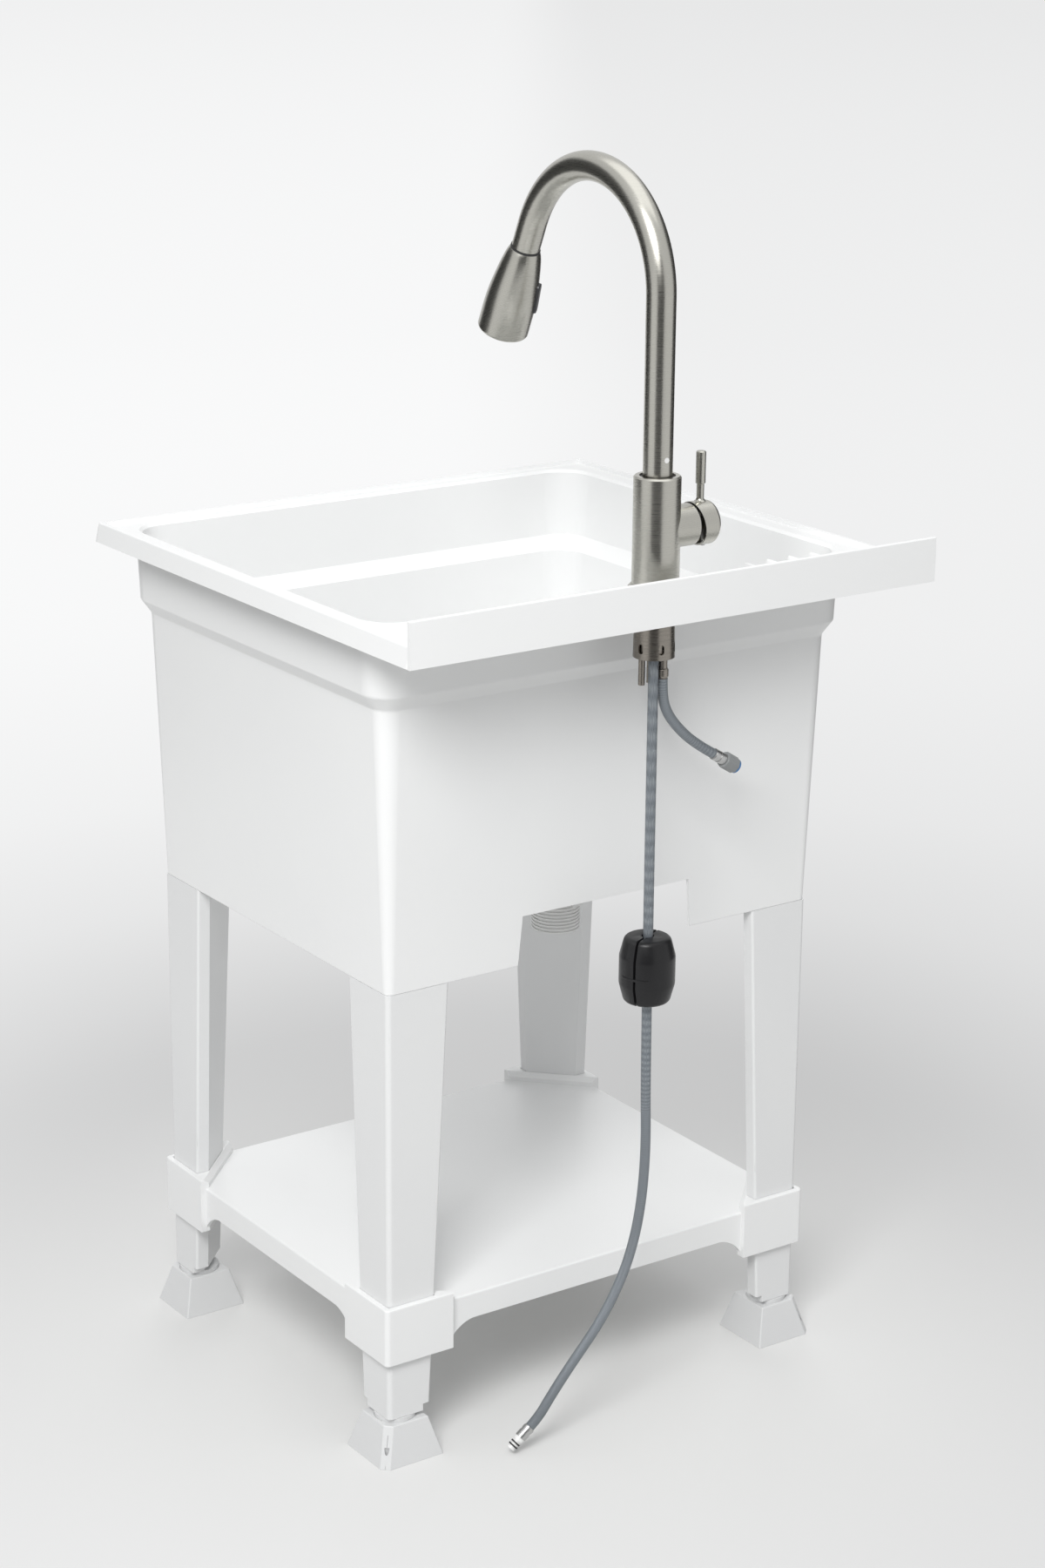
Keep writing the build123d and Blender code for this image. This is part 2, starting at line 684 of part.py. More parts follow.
def ring(radius, bore, low, high):
    """A plain ring about the tap's vertical axis."""
    with BuildPart() as piece:
        with BuildSketch(Plane.XY.offset(low)):
            with Locations((0, tap_y)):
                Circle(radius)
                Circle(bore, mode=Mode.SUBTRACT)
        extrude(amount=high - low)
    return piece


base_gasket = ring(base_radius - base_gasket_inset, shank_radius + snug, rim_surface, base_level)
base_gasket.part.label = "base_gasket"
export_step(base_gasket.part, "parts/base_gasket.step")

with BuildPart() as base_flange:
    with BuildSketch(Plane.XY.offset(base_level)):
        with Locations((0, tap_y)):
            Circle(base_radius)
            Circle(shank_radius + snug, mode=Mode.SUBTRACT)
    extrude(amount=base_height)
    chamfer(base_flange.edges().filter_by(GeomType.CIRCLE).group_by(Axis.Z)[-1].sort_by(SortBy.RADIUS)[-1],
            base_shoulder)
base_flange.part.label = "base_flange"
export_step(base_flange.part, "parts/base_flange.step")

deck_washer = ring(deck_washer_radius, deck_hole_radius, deck_under - deck_washer_wall, deck_under)
deck_washer.part.label = "deck_washer"
export_step(deck_washer.part, "parts/deck_washer.step")

clamp_top = deck_under - deck_washer_wall
clamp_washer = ring(deck_washer_radius, shank_radius + slip, clamp_top - clamp_washer_wall, clamp_top)
clamp_washer.part.label = "clamp_washer"
export_step(clamp_washer.part, "parts/clamp_washer.step")

mounting_shank = ring(shank_radius, shank_bore, shank_end, plate_level)
mounting_shank.part.label = "mounting_shank"
export_step(mounting_shank.part, "parts/mounting_shank.step")

nut_top = clamp_top - clamp_washer_wall
nut_end = nut_top - nut_height
with BuildPart() as mounting_nut:
    with BuildSketch(Plane(origin=(0, tap_y, 0), x_dir=(1, 0, 0), z_dir=(0, -1, 0))):
        with BuildLine():
            Polyline((shank_radius + snug, nut_top), (nut_top_radius, nut_top), (nut_end_radius, nut_end),
                     (nut_end_radius - nut_shell, nut_end),
                     (nut_top_radius - nut_shell / 2, nut_top - nut_thread),
                     (shank_radius + snug, nut_top - nut_thread), close=True)
        make_face()
    revolve(axis=Axis((0, tap_y, 0), (0, 0, 1)))
    for slot in range(nut_slots):
        turn = nut_slot_turn + 360 / nut_slots * slot
        outward = Vector(cos(radians(turn)), sin(radians(turn)), 0)
        with BuildSketch(Plane(origin=(0, tap_y, nut_end + nut_slot_rise), x_dir=(0, 0, 1), z_dir=outward)):
            SlotOverall(nut_slot_length, 2 * nut_slot_radius)
        extrude(amount=nut_end_radius + nut_shell, mode=Mode.SUBTRACT)
mounting_nut.part.label = "mounting_nut"
export_step(mounting_nut.part, "parts/mounting_nut.step")

valve_level = body_level + valve_rise
valve_plane = Plane(origin=(0, tap_y, valve_level), x_dir=(0, 1, 0), z_dir=(-1, 0, 0))
with BuildPart() as faucet_body:
    with BuildSketch(Plane.XY.offset(body_level)):
        with Locations((0, tap_y)):
            Circle(body_radius)
    extrude(amount=body_height)
    chamfer(faucet_body.edges().filter_by(GeomType.CIRCLE).group_by(Axis.Z)[-1], body_edge)
    with BuildSketch(valve_plane):
        Circle(valve_radius)
    extrude(amount=valve_reach)
    # bores: hose way, wide bore, spout seat, shank thread and valve chamber
    with Locations((0, tap_y, plate_level + body_plate)):
        Cylinder(body_bore, body_height, align=(Align.CENTER, Align.CENTER, Align.MIN), mode=Mode.SUBTRACT)
    with Locations((0, tap_y, plate_level)):
        Cylinder(hose_way, 3 * body_plate, mode=Mode.SUBTRACT)
    with Locations((0, tap_y, body_top)):
        Cylinder(bush_radius + snug, spout_seat + thrust_wall, align=(Align.CENTER, Align.CENTER, Align.MAX),
                 mode=Mode.SUBTRACT)
    with Locations((0, tap_y, body_level)):
        Cylinder(shank_radius + snug, shank_thread, align=(Align.CENTER, Align.CENTER, Align.MIN),
                 mode=Mode.SUBTRACT)
    with Locations((cold_x, cold_y, plate_level), (hot_x, hot_y, plate_level), (outlet_x, tap_y, plate_level)):
        Cylinder(tail_radius + snug, tail_socket, align=(Align.CENTER, Align.CENTER, Align.MIN),
                 mode=Mode.SUBTRACT)
    with BuildSketch(valve_plane.offset(cartridge_inner)):
        Circle(cartridge_radius + snug)
    extrude(amount=valve_reach, mode=Mode.SUBTRACT)
faucet_body.part.label = "faucet_body"
export_step(faucet_body.part, "parts/faucet_body.step")

# hose guide that closes the shank, with a hole for each line
guide_level = shank_end
with BuildPart() as hose_guide:
    with BuildSketch(Plane.XY.offset(guide_level)):
        with Locations((0, tap_y)):
            Circle(shank_bore - snug)
        with Locations((0, tap_y)):
            Circle(hose_radius + slip, mode=Mode.SUBTRACT)
        with Locations((cold_x, cold_y), (hot_x, hot_y), (outlet_x, tap_y)):
            Circle(tail_radius + snug, mode=Mode.SUBTRACT)
    extrude(amount=guide_height)
hose_guide.part.label = "hose_guide"
export_step(hose_guide.part, "parts/hose_guide.step")

tail_top = plate_level + tail_socket
for label, tail_x, tail_y in (("cold_inlet_tail", cold_x, cold_y), ("hot_inlet_tail", hot_x, hot_y)):
    with BuildPart(Plane.XY.offset(guide_level - inlet_drop)) as inlet_tail:
        with Locations((tail_x, tail_y)):
            Cylinder(tail_radius, tail_top - guide_level + inlet_drop,
                     align=(Align.CENTER, Align.CENTER, Align.MIN))
    inlet_tail.part.label = label
    export_step(inlet_tail.part, f"parts/{label}.step")

ferrule_level = guide_level - ferrule_drop
with BuildPart(Plane.XY.offset(ferrule_level)) as outlet_fitting:
    with Locations((outlet_x, tap_y)):
        Cylinder(ferrule_radius, ferrule_length, align=(Align.CENTER, Align.CENTER, Align.MIN))
    fillet(outlet_fitting.edges().filter_by(GeomType.CIRCLE), ferrule_edge)
    with Locations((outlet_x, tap_y)):
        Cylinder(ferrule_neck, guide_level - ferrule_level, align=(Align.CENTER, Align.CENTER, Align.MIN))
        Cylinder(tail_radius, tail_top - ferrule_level, align=(Align.CENTER, Align.CENTER, Align.MIN))
outlet_fitting.part.label = "outlet_fitting"
export_step(outlet_fitting.part, "parts/outlet_fitting.step")

# ================================================================ tap: spout
seat_level = body_top - spout_seat
bend_level = body_top + spout_straight
sweep_angle = 180 - spout_tilt
bend_y = tap_y - spout_bend
tilt = radians(spout_tilt)
nose = Vector(0, -sin(tilt), -cos(tilt))
bend_end = Vector(0, bend_y - spout_bend * cos(tilt), bend_level + spout_bend * sin(tilt))
head_origin = bend_end + nose * spout_nose
head_plane = Plane(origin=head_origin, x_dir=(0, cos(tilt), -sin(tilt)), z_dir=(-1, 0, 0))
head_axis = Axis(head_origin, nose)

with BuildLine(Plane.YZ) as spout_path:
    Line((tap_y, seat_level), (tap_y, bend_level))
    CenterArc((bend_y, bend_level), spout_bend, 0, sweep_angle)
    Line((bend_end.Y, bend_end.Z), (head_origin.Y, head_origin.Z))

with BuildPart() as spout_tube:
    with BuildSketch(Plane.XY.offset(seat_level)):
        with Locations((0, tap_y)):
            Circle(spout_radius)
            Circle(spout_radius - spout_wall, mode=Mode.SUBTRACT)
    sweep(path=spout_path.wires()[0])
    with BuildSketch(Plane(origin=(0, tap_y, body_top + plug_rise), x_dir=(1, 0, 0), z_dir=(0, 1, 0))):
        Circle(plug_radius + snug)
    extrude(amount=2 * spout_radius, mode=Mode.SUBTRACT)
spout_tube.part.label = "spout_tube"
export_step(spout_tube.part, "parts/spout_tube.step")

with BuildPart() as spout_plug:
    with BuildSketch(Plane(origin=(0, tap_y + spout_radius - spout_wall, body_top + plug_rise),
                           x_dir=(1, 0, 0), z_dir=(0, 1, 0))):
        Circle(plug_radius)
    extrude(amount=spout_wall)
spout_plug.part.label = "spout_plug"
export_step(spout_plug.part, "parts/spout_plug.step")

swivel_bush = ring(bush_radius, spout_radius + slip, seat_level, body_top - bush_sink)
swivel_bush.part.label = "swivel_bush"
export_step(swivel_bush.part, "parts/swivel_bush.step")

thrust_washer = ring(bush_radius, spout_radius - spout_wall, seat_level - thrust_wall, seat_level)
thrust_washer.part.label = "thrust_washer"
export_step(thrust_washer.part, "parts/thrust_washer.step")

with BuildPart() as dock_bush:
    with BuildSketch(Plane(origin=head_origin, x_dir=(1, 0, 0), z_dir=nose)):
        Circle(spout_radius - spout_wall - snug)
        Circle(dock_radius, mode=Mode.SUBTRACT)
    extrude(amount=-dock_length)
dock_bush.part.label = "dock_bush"
export_step(dock_bush.part, "parts/dock_bush.step")

# hose from the head, through the spout and down to the joint with the hanging hose
join_level = guide_level + hose_join
hose_end = head_origin + nose * core_seat
with BuildLine(Plane.YZ) as inner_hose_path:
    Line((tap_y, join_level), (tap_y, bend_level))
    CenterArc((bend_y, bend_level), spout_bend, 0, sweep_angle)
    Line((bend_end.Y, bend_end.Z), (hose_end.Y, hose_end.Z))

with BuildPart() as spray_hose:
    with BuildSketch(Plane.XY.offset(join_level)):
        with Locations((0, tap_y)):
            Circle(hose_radius)
    sweep(path=inner_hose_path.wires()[0])
spray_hose.part.label = "spray_hose"
export_step(spray_hose.part, "parts/spray_hose.step")

# ================================================================ tap: spray head
nozzle_level = head_length - nozzle_sink - nozzle_wall      # places along the head's axis
shell_inside = collar_height + head_wall
button_slope = radians(button_lean)
button_radius = head_mid_radius + (head_end_radius - head_mid_radius) * (button_place - head_mid) / (
    head_full - head_mid)
button_way = radians(button_turn)
outward = Vector(-sin(button_way), cos(button_way) * cos(tilt), -cos(button_way) * sin(tilt))
button_normal = outward * cos(button_slope) - nose * sin(button_slope)
button_along = nose * cos(button_slope) + outward * sin(button_slope)
button_plane = Plane(origin=head_origin + nose * button_place + outward * button_radius,
                     x_dir=button_along, z_dir=button_normal)

with BuildPart() as spray_collar:
    with BuildSketch(Plane(origin=head_origin + nose * slip, x_dir=(1, 0, 0), z_dir=nose)):
        Circle(head_top_radius)
        Circle(hose_radius + slip, mode=Mode.SUBTRACT)
    extrude(amount=collar_height - slip)
spray_collar.part.label = "spray_collar"
export_step(spray_collar.part, "parts/spray_collar.step")


def flared_side(inset, low, high):
    """Side of the head, drawn in by inset, from one place along its axis to another."""
    Spline((head_top_radius - inset, low), (head_neck_radius - inset, head_neck),
           (head_mid_radius - inset, head_mid), (head_end_radius - inset, head_full),
           tangents=((0.55, 1), (0, 1)))
    Line((head_end_radius - inset, head_full), (head_end_radius - inset, high))


with BuildPart() as spray_shell:
    with BuildSketch(head_plane):
        with BuildLine():
            Line((0, collar_height), (head_top_radius, collar_height))
            flared_side(0, collar_height, head_length - head_edge)
            RadiusArc((head_end_radius, head_length - head_edge), (head_end_radius - head_edge, head_length),
                      -head_edge)
            Line((head_end_radius - head_edge, head_length), (0, head_length))
            Line((0, head_length), (0, collar_height))
        make_face()
    revolve(axis=head_axis)
    with BuildSketch(head_plane):
        with BuildLine():
            Line((0, shell_inside), (head_top_radius - head_wall, shell_inside))
            flared_side(head_wall, shell_inside, nozzle_level - head_wall)
            Line((head_end_radius - head_wall, nozzle_level - head_wall), (0, nozzle_level - head_wall))
            Line((0, nozzle_level - head_wall), (0, shell_inside))
        make_face()
    revolve(axis=head_axis, mode=Mode.SUBTRACT)
    with BuildSketch(Plane(origin=head_origin, x_dir=(1, 0, 0), z_dir=nose)):
        Circle(core_radius + snug)
    extrude(amount=head_neck, mode=Mode.SUBTRACT)
    with BuildSketch(Plane(origin=head_origin + nose * head_mid, x_dir=(1, 0, 0), z_dir=nose)):
        Circle(nozzle_radius + snug)
    extrude(amount=head_length, mode=Mode.SUBTRACT)
    with BuildSketch(button_plane):
        SlotOverall(button_length + 2 * button_gap, button_width + 2 * button_gap)
    extrude(amount=button_depth, both=True, mode=Mode.SUBTRACT)
spray_shell.part.label = "spray_shell"
export_step(spray_shell.part, "parts/spray_shell.step")

with BuildPart() as spray_core:
    with BuildSketch(Plane(origin=head_origin + nose * collar_height, x_dir=(1, 0, 0), z_dir=nose)):
        Circle(core_radius)
    extrude(amount=nozzle_level - collar_height)
    with BuildSketch(Plane(origin=head_origin + nose * shell_inside, x_dir=(1, 0, 0), z_dir=nose)):
        Circle(core_flange_radius)
    extrude(amount=core_flange_wall)
    with BuildSketch(Plane(origin=head_origin + nose * collar_height, x_dir=(1, 0, 0), z_dir=nose)):
        Circle(core_bore)
    extrude(amount=head_length, mode=Mode.SUBTRACT)
    with BuildSketch(Plane(origin=head_origin + nose * collar_height, x_dir=(1, 0, 0), z_dir=nose)):
        Circle(hose_radius + snug)
    extrude(amount=core_seat - collar_height, mode=Mode.SUBTRACT)
spray_core.part.label = "spray_core"
export_step(spray_core.part, "parts/spray_core.step")

with BuildPart() as spray_nozzle:
    with BuildSketch(Plane(origin=head_origin + nose * nozzle_level, x_dir=(1, 0, 0), z_dir=nose)):
        Circle(nozzle_radius)
    extrude(amount=nozzle_wall)
    with BuildSketch(Plane(origin=head_origin + nose * (nozzle_level + nozzle_wall), x_dir=(1, 0, 0),
                           z_dir=nose)):
        for count, circle_radius in nozzle_rows:
            with PolarLocations(circle_radius, count):
                Circle(nozzle_nub_radius)
    extrude(amount=nozzle_nub_height)
spray_nozzle.part.label = "spray_nozzle"
export_step(spray_nozzle.part, "parts/spray_nozzle.step")

with BuildPart() as spray_button:
    with BuildSketch(button_plane.offset(-button_depth)):
        SlotOverall(button_length, button_width)
    extrude(amount=button_depth + button_proud)
    fillet(spray_button.faces().sort_by(Axis((0, 0, 0), tuple(button_normal)))[-1].edges(), button_edge)
    with BuildSketch(Plane(origin=button_plane.origin - button_normal * button_pin_drop,
                           x_dir=button_along, z_dir=nose.cross(outward))):
        Circle(button_pin_radius)
    extrude(amount=button_pin_length / 2, both=True)
spray_button.part.label = "spray_button"
export_step(spray_button.part, "parts/spray_button.step")

# ================================================================ tap: side valve and its handle
def valve_at(reach):
    """Plane square to the valve's axis, facing outwards, at a distance from the tap's axis."""
    return valve_plane.offset(reach)


valve_profile = Plane(origin=(0, tap_y, valve_level), x_dir=(-1, 0, 0), z_dir=(0, 1, 0))

with BuildPart() as valve_cartridge:
    with BuildSketch(valve_at(cartridge_inner)):
        Circle(cartridge_radius)
    extrude(amount=cartridge_outer - cartridge_inner)
    with BuildSketch(valve_at(cartridge_outer - carrier_depth)):
        Circle(carrier_radius + slip)
    extrude(amount=carrier_depth, mode=Mode.SUBTRACT)
valve_cartridge.part.label = "valve_cartridge"
export_step(valve_cartridge.part, "parts/valve_cartridge.step")

with BuildPart() as cartridge_carrier:
    with BuildSketch(valve_at(cartridge_outer - carrier_depth)):
        Circle(carrier_radius)
    extrude(amount=carrier_depth)
    with BuildSketch(valve_at(stem_inner - slip)):
        SlotOverall(carrier_slot, 2 * (valve_stem_radius + slip), rotation=90)
    extrude(amount=carrier_depth, mode=Mode.SUBTRACT)
cartridge_carrier.part.label = "cartridge_carrier"
export_step(cartridge_carrier.part, "parts/cartridge_carrier.step")

with BuildPart() as bonnet_ring:
    with BuildSketch(valve_at(cartridge_outer)):
        Circle(cartridge_radius)
        Circle(bonnet_bore, mode=Mode.SUBTRACT)
    extrude(amount=valve_reach - cartridge_outer)
    with BuildSketch(valve_at(valve_reach)):
        Circle(bonnet_radius)
        Circle(bonnet_bore, mode=Mode.SUBTRACT)
    extrude(amount=bonnet_proud)
bonnet_ring.part.label = "bonnet_ring"
export_step(bonnet_ring.part, "parts/bonnet_ring.step")

stem_end = cap_end - cap_end_wall - stem_edge
with BuildPart() as cartridge_stem:
    with BuildSketch(valve_at(stem_inner)):
        Circle(valve_stem_radius)
    extrude(amount=stem_end - stem_inner)
cartridge_stem.part.label = "cartridge_stem"
export_step(cartridge_stem.part, "parts/cartridge_stem.step")

with BuildPart() as handle_cap:
    with BuildSketch(valve_at(cap_start)):
        Circle(cap_radius)
    extrude(amount=cap_end - cap_start)
    fillet(handle_cap.faces().sort_by(Axis.X)[0].edges(), cap_edge)
    with BuildSketch(valve_at(cap_start)):
        Circle(cap_radius - cap_wall)
    extrude(amount=cap_end - cap_end_wall - cap_start, mode=Mode.SUBTRACT)
    with BuildSketch(valve_at(cap_end - cap_end_wall - cap_boss_length)):
        Circle(cap_boss_radius)
    extrude(amount=cap_boss_length)
    with BuildSketch(valve_at(cap_start)):
        Circle(valve_stem_radius + snug / 2)
    extrude(amount=stem_end - cap_start, mode=Mode.SUBTRACT)
    # slanted rim, longer at the top than at the bottom
    with BuildSketch(valve_profile):
        with BuildLine():
            Polyline((0, -2 * cap_radius), (cap_low_start, -2 * cap_radius), (cap_low_start, -cap_radius),
                     (cap_start, cap_radius), (0, cap_radius), close=True)
        make_face()
    extrude(amount=2 * cap_radius, both=True, mode=Mode.SUBTRACT)
    # holes for the lever and the set screw
    with BuildSketch(Plane(origin=(-lever_reach, tap_y, valve_level))):
        Circle(lever_radius)
    extrude(amount=2 * cap_radius, mode=Mode.SUBTRACT)
    with BuildSketch(Plane(origin=(-set_screw_reach, tap_y, valve_level))):
        Circle(set_screw_radius)
    extrude(amount=-2 * cap_radius, mode=Mode.SUBTRACT)
handle_cap.part.label = "handle_cap"
export_step(handle_cap.part, "parts/handle_cap.step")

lever_base = valve_level + cap_radius
lever_top = lever_base + lever_neck
with BuildPart() as handle_lever:
    with BuildSketch(Plane(origin=(-lever_reach, tap_y, 0), x_dir=(1, 0, 0), z_dir=(0, -1, 0))):
        with BuildLine():
            flare_foot = lever_base - flare_height / 2
            Polyline((0, flare_foot), (lever_flare, flare_foot), (lever_flare, lever_base))
            RadiusArc((lever_flare, lever_base), (lever_radius, lever_base + flare_height), flare_height)
            Polyline((lever_radius, lever_base + flare_height), (lever_radius, lever_top),
                     (grip_radius, lever_top + grip_edge), (grip_radius, lever_top + grip_length - grip_edge),
                     (grip_radius - grip_edge, lever_top + grip_length), (0, lever_top + grip_length),
                     (0, flare_foot))
        make_face()
    revolve(axis=Axis((-lever_reach, tap_y, 0), (0, 0, 1)))
    with BuildSketch(valve_at(cap_start)):
        Circle(cap_radius)
    extrude(amount=cap_end - cap_start, mode=Mode.SUBTRACT)
    with BuildSketch(Plane(origin=(-lever_reach, tap_y, valve_level + cap_boss_radius))):
        Circle(lever_radius)
    extrude(until=Until.NEXT)
handle_lever.part.label = "handle_lever"
export_step(handle_lever.part, "parts/handle_lever.step")

with BuildPart() as handle_set_screw:
    with BuildSketch(Plane(origin=(-set_screw_reach, tap_y, valve_level - valve_stem_radius - snug))):
        Circle(set_screw_radius)
    extrude(amount=-(cap_radius - valve_stem_radius - snug + set_screw_proud))
handle_set_screw.part.label = "handle_set_screw"
export_step(handle_set_screw.part, "parts/handle_set_screw.step")


# ================================================================ hoses
def hose_tube(points, name):
    """A hose of straight runs joined by arcs, each as large as its two runs allow."""
    corners = [Vector(*point) for point in points]
    runs = [end - start for start, end in zip(corners, corners[1:])]
    radii = [0.45 * min(before.length, after.length) / tan(radians(before.get_angle(after) / 2))
             for before, after in zip(runs, runs[1:])]
    with BuildLine() as path:
        FilletPolyline(*corners, radius=radii)
    with BuildPart() as tube:
        with BuildSketch(Plane(origin=corners[0], z_dir=runs[0])):
            Circle(hose_radius)
        sweep(path=path.wires()[0])
    length = sum(edge.length for edge in path.edges())
    print(name, "arc radii", [round(radius) for radius in radii], "length", round(length),
          "volume against section times length", round(tube.part.volume / (pi * hose_radius ** 2 * length), 4))
    return tube


def end_plane(points):
    """Plane across the far end of a hose, facing out of it."""
    return Plane(origin=points[-1], z_dir=Vector(*points[-1]) - Vector(*points[-2]))


def crimp_sleeve(start, length, radius):
    """A hose ferrule with two pressed waists, from the start plane outwards."""
    with BuildPart() as sleeve:
        for low, high, size in ((0, 1, radius - crimp_waist), (1, length / 3, radius),
                                (length / 3, length / 2, radius - crimp_waist), (length / 2, length, radius)):
            with BuildSketch(start.offset(low)):
                Circle(size)
            extrude(amount=high - low)
    return sleeve


# hanging hose: straight down through its weight, then out along the floor
main_route = (
    (0, tap_y, join_level), (0, tap_y, 395), (-4, 249.3, 283), (7.5, 248.2, 197), (38, 246, 132),
    (84, 242.6, 78.5), (104.5, 240.9, 52), (116.8, 240, 34.6), (126.5, 238.7, 26),
)
main_hose = hose_tube(main_route, "main_hose")
main_hose.part.label = "main_hose"
export_step(main_hose.part, "parts/main_hose.step")

main_end = end_plane(main_route)
hose_ferrule = crimp_sleeve(main_end, crimp_length, crimp_radius)
hose_ferrule.part.label = "hose_ferrule"
export_step(hose_ferrule.part, "parts/hose_ferrule.step")

nipple_start = main_end.offset(crimp_length)
with BuildPart() as hose_nipple:
    with BuildSketch(nipple_start):
        Circle(nipple_collar_radius)
    extrude(amount=nipple_collar)
    with BuildSketch(nipple_start.offset(nipple_collar)):
        Circle(nipple_radius)
    extrude(amount=nipple_length - nipple_collar)
    for groove in range(2):
        with BuildSketch(nipple_start.offset(oring_place + groove * oring_pitch)):
            Circle(nipple_collar_radius)
            Circle(oring_groove, mode=Mode.SUBTRACT)
        extrude(amount=oring_width, mode=Mode.SUBTRACT)
hose_nipple.part.label = "hose_nipple"
export_step(hose_nipple.part, "parts/hose_nipple.step")

with BuildPart() as hose_orings:
    for groove in range(2):
        with BuildSketch(nipple_start.offset(oring_place + groove * oring_pitch)):
            Circle(oring_radius)
            Circle(oring_groove, mode=Mode.SUBTRACT)
        extrude(amount=oring_width)
hose_orings.part.label = "hose_orings"
export_step(hose_orings.part, "parts/hose_orings.step")

# split weight clamped on the hanging hose
weight_top = nut_end - weight_drop
weight_bottom = weight_top - weight_height
weight_middle = weight_bottom + weight_shoulder + weight_band / 2
with BuildPart() as weight_barrel:
    with BuildSketch(Plane(origin=(0, tap_y, weight_bottom), x_dir=(1, 0, 0), z_dir=(0, -1, 0))):
        with BuildLine():
            Polyline((hose_radius + snug, 0), (weight_low_radius, 0), (weight_radius, weight_shoulder),
                     (weight_radius, weight_shoulder + weight_band), (weight_top_radius, weight_height),
                     (hose_radius + snug, weight_height), close=True)
        make_face()
    revolve(axis=Axis((0, tap_y, 0), (0, 0, 1)))
    with BuildSketch(Plane.XY.offset(weight_bottom)):
        with Locations((0, tap_y)):
            Rectangle(3 * weight_radius, weight_seam)
    extrude(amount=weight_height, mode=Mode.SUBTRACT)
    with BuildSketch(Plane(origin=(0, tap_y, weight_middle), x_dir=(1, 0, 0), z_dir=(0, 1, 0))):
        with Locations((-weight_screw_offset, 0), (weight_screw_offset, 0)):
            Circle(weight_screw_radius + snug)
    extrude(amount=weight_screw_reach, both=True, mode=Mode.SUBTRACT)
    with BuildSketch(Plane(origin=(0, tap_y + weight_screw_reach, weight_middle), x_dir=(1, 0, 0),
                           z_dir=(0, 1, 0))):
        with Locations((-weight_screw_offset, 0), (weight_screw_offset, 0)):
            Circle(weight_screw_head + snug)
    extrude(amount=weight_radius, mode=Mode.SUBTRACT)

halves = weight_barrel.part.solids().sort_by(Axis.Y)
for label, half in (("weight_half_a", halves[0]), ("weight_half_b", halves[-1])):
    with BuildPart() as weight_half:
        add(half)
    weight_half.part.label = label
    export_step(weight_half.part, f"parts/{label}.step")

with BuildPart() as weight_screws:
    with BuildSketch(Plane(origin=(0, tap_y, weight_middle), x_dir=(1, 0, 0), z_dir=(0, 1, 0))):
        with Locations((-weight_screw_offset, 0), (weight_screw_offset, 0)):
            Circle(weight_screw_radius)
    extrude(amount=weight_screw_reach, both=True)
    with BuildSketch(Plane(origin=(0, tap_y + weight_screw_reach, weight_middle), x_dir=(1, 0, 0),
                           z_dir=(0, 1, 0))):
        with Locations((-weight_screw_offset, 0), (weight_screw_offset, 0)):
            Circle(weight_screw_head)
    extrude(amount=weight_screw_head / 2)
weight_screws.part.label = "weight_screws"
export_step(weight_screws.part, "parts/weight_screws.step")

# short outlet hose with its quick connector
outlet_route = (
    (outlet_x, tap_y, ferrule_level), (outlet_x, tap_y, 764), (-16.2, 249.5, 747), (-28.5, 250.3, 730.5),
    (-49, 251, 711.5), (-72.5, 251, 697),
)
outlet_hose = hose_tube(outlet_route, "outlet_hose")
outlet_hose.part.label = "outlet_hose"
export_step(outlet_hose.part, "parts/outlet_hose.step")

outlet_end = end_plane(outlet_route)
outlet_ferrule = crimp_sleeve(outlet_end, end_crimp_length, end_crimp_radius)
outlet_ferrule.part.label = "outlet_ferrule"
export_step(outlet_ferrule.part, "parts/outlet_ferrule.step")

connector_start = outlet_end.offset(end_crimp_length)
with BuildPart() as quick_connector:
    with BuildSketch(connector_start):
        RegularPolygon(connector_radius, 8)
    extrude(amount=connector_length)
    with BuildSketch(connector_start.offset(connector_floor)):
        Circle(connector_bore)
    extrude(amount=connector_length, mode=Mode.SUBTRACT)
    with BuildSketch(connector_start.offset(connector_length - release_length)):
        Circle(release_radius + slip)
    extrude(amount=release_length, mode=Mode.SUBTRACT)
quick_connector.part.label = "quick_connector"
export_step(quick_connector.part, "parts/quick_connector.step")

with BuildPart() as quick_release_ring:
    with BuildSketch(connector_start.offset(connector_length - release_length + release_proud)):
        Circle(release_radius)
        Circle(connector_bore, mode=Mode.SUBTRACT)
    extrude(amount=release_length)
quick_release_ring.part.label = "quick_release_ring"
export_step(quick_release_ring.part, "parts/quick_release_ring.step")
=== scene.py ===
import bpy
from math import cos, pi, radians, sin
from mathutils import Matrix, Vector


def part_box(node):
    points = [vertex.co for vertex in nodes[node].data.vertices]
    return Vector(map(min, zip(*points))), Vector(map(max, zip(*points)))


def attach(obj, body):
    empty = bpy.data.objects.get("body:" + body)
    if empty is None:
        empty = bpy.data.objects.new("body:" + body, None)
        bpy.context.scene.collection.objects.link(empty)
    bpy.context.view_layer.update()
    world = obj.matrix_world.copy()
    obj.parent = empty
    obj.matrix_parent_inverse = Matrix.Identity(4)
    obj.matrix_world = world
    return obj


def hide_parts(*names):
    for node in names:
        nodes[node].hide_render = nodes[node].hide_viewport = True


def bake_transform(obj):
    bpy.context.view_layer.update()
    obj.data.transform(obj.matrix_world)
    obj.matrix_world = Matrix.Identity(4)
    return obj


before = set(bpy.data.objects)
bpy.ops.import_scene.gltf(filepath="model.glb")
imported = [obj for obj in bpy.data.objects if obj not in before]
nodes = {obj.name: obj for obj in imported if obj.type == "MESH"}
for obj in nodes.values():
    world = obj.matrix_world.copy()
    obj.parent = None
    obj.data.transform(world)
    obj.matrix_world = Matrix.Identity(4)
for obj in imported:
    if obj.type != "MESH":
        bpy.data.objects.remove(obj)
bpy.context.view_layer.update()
scene = bpy.context.scene
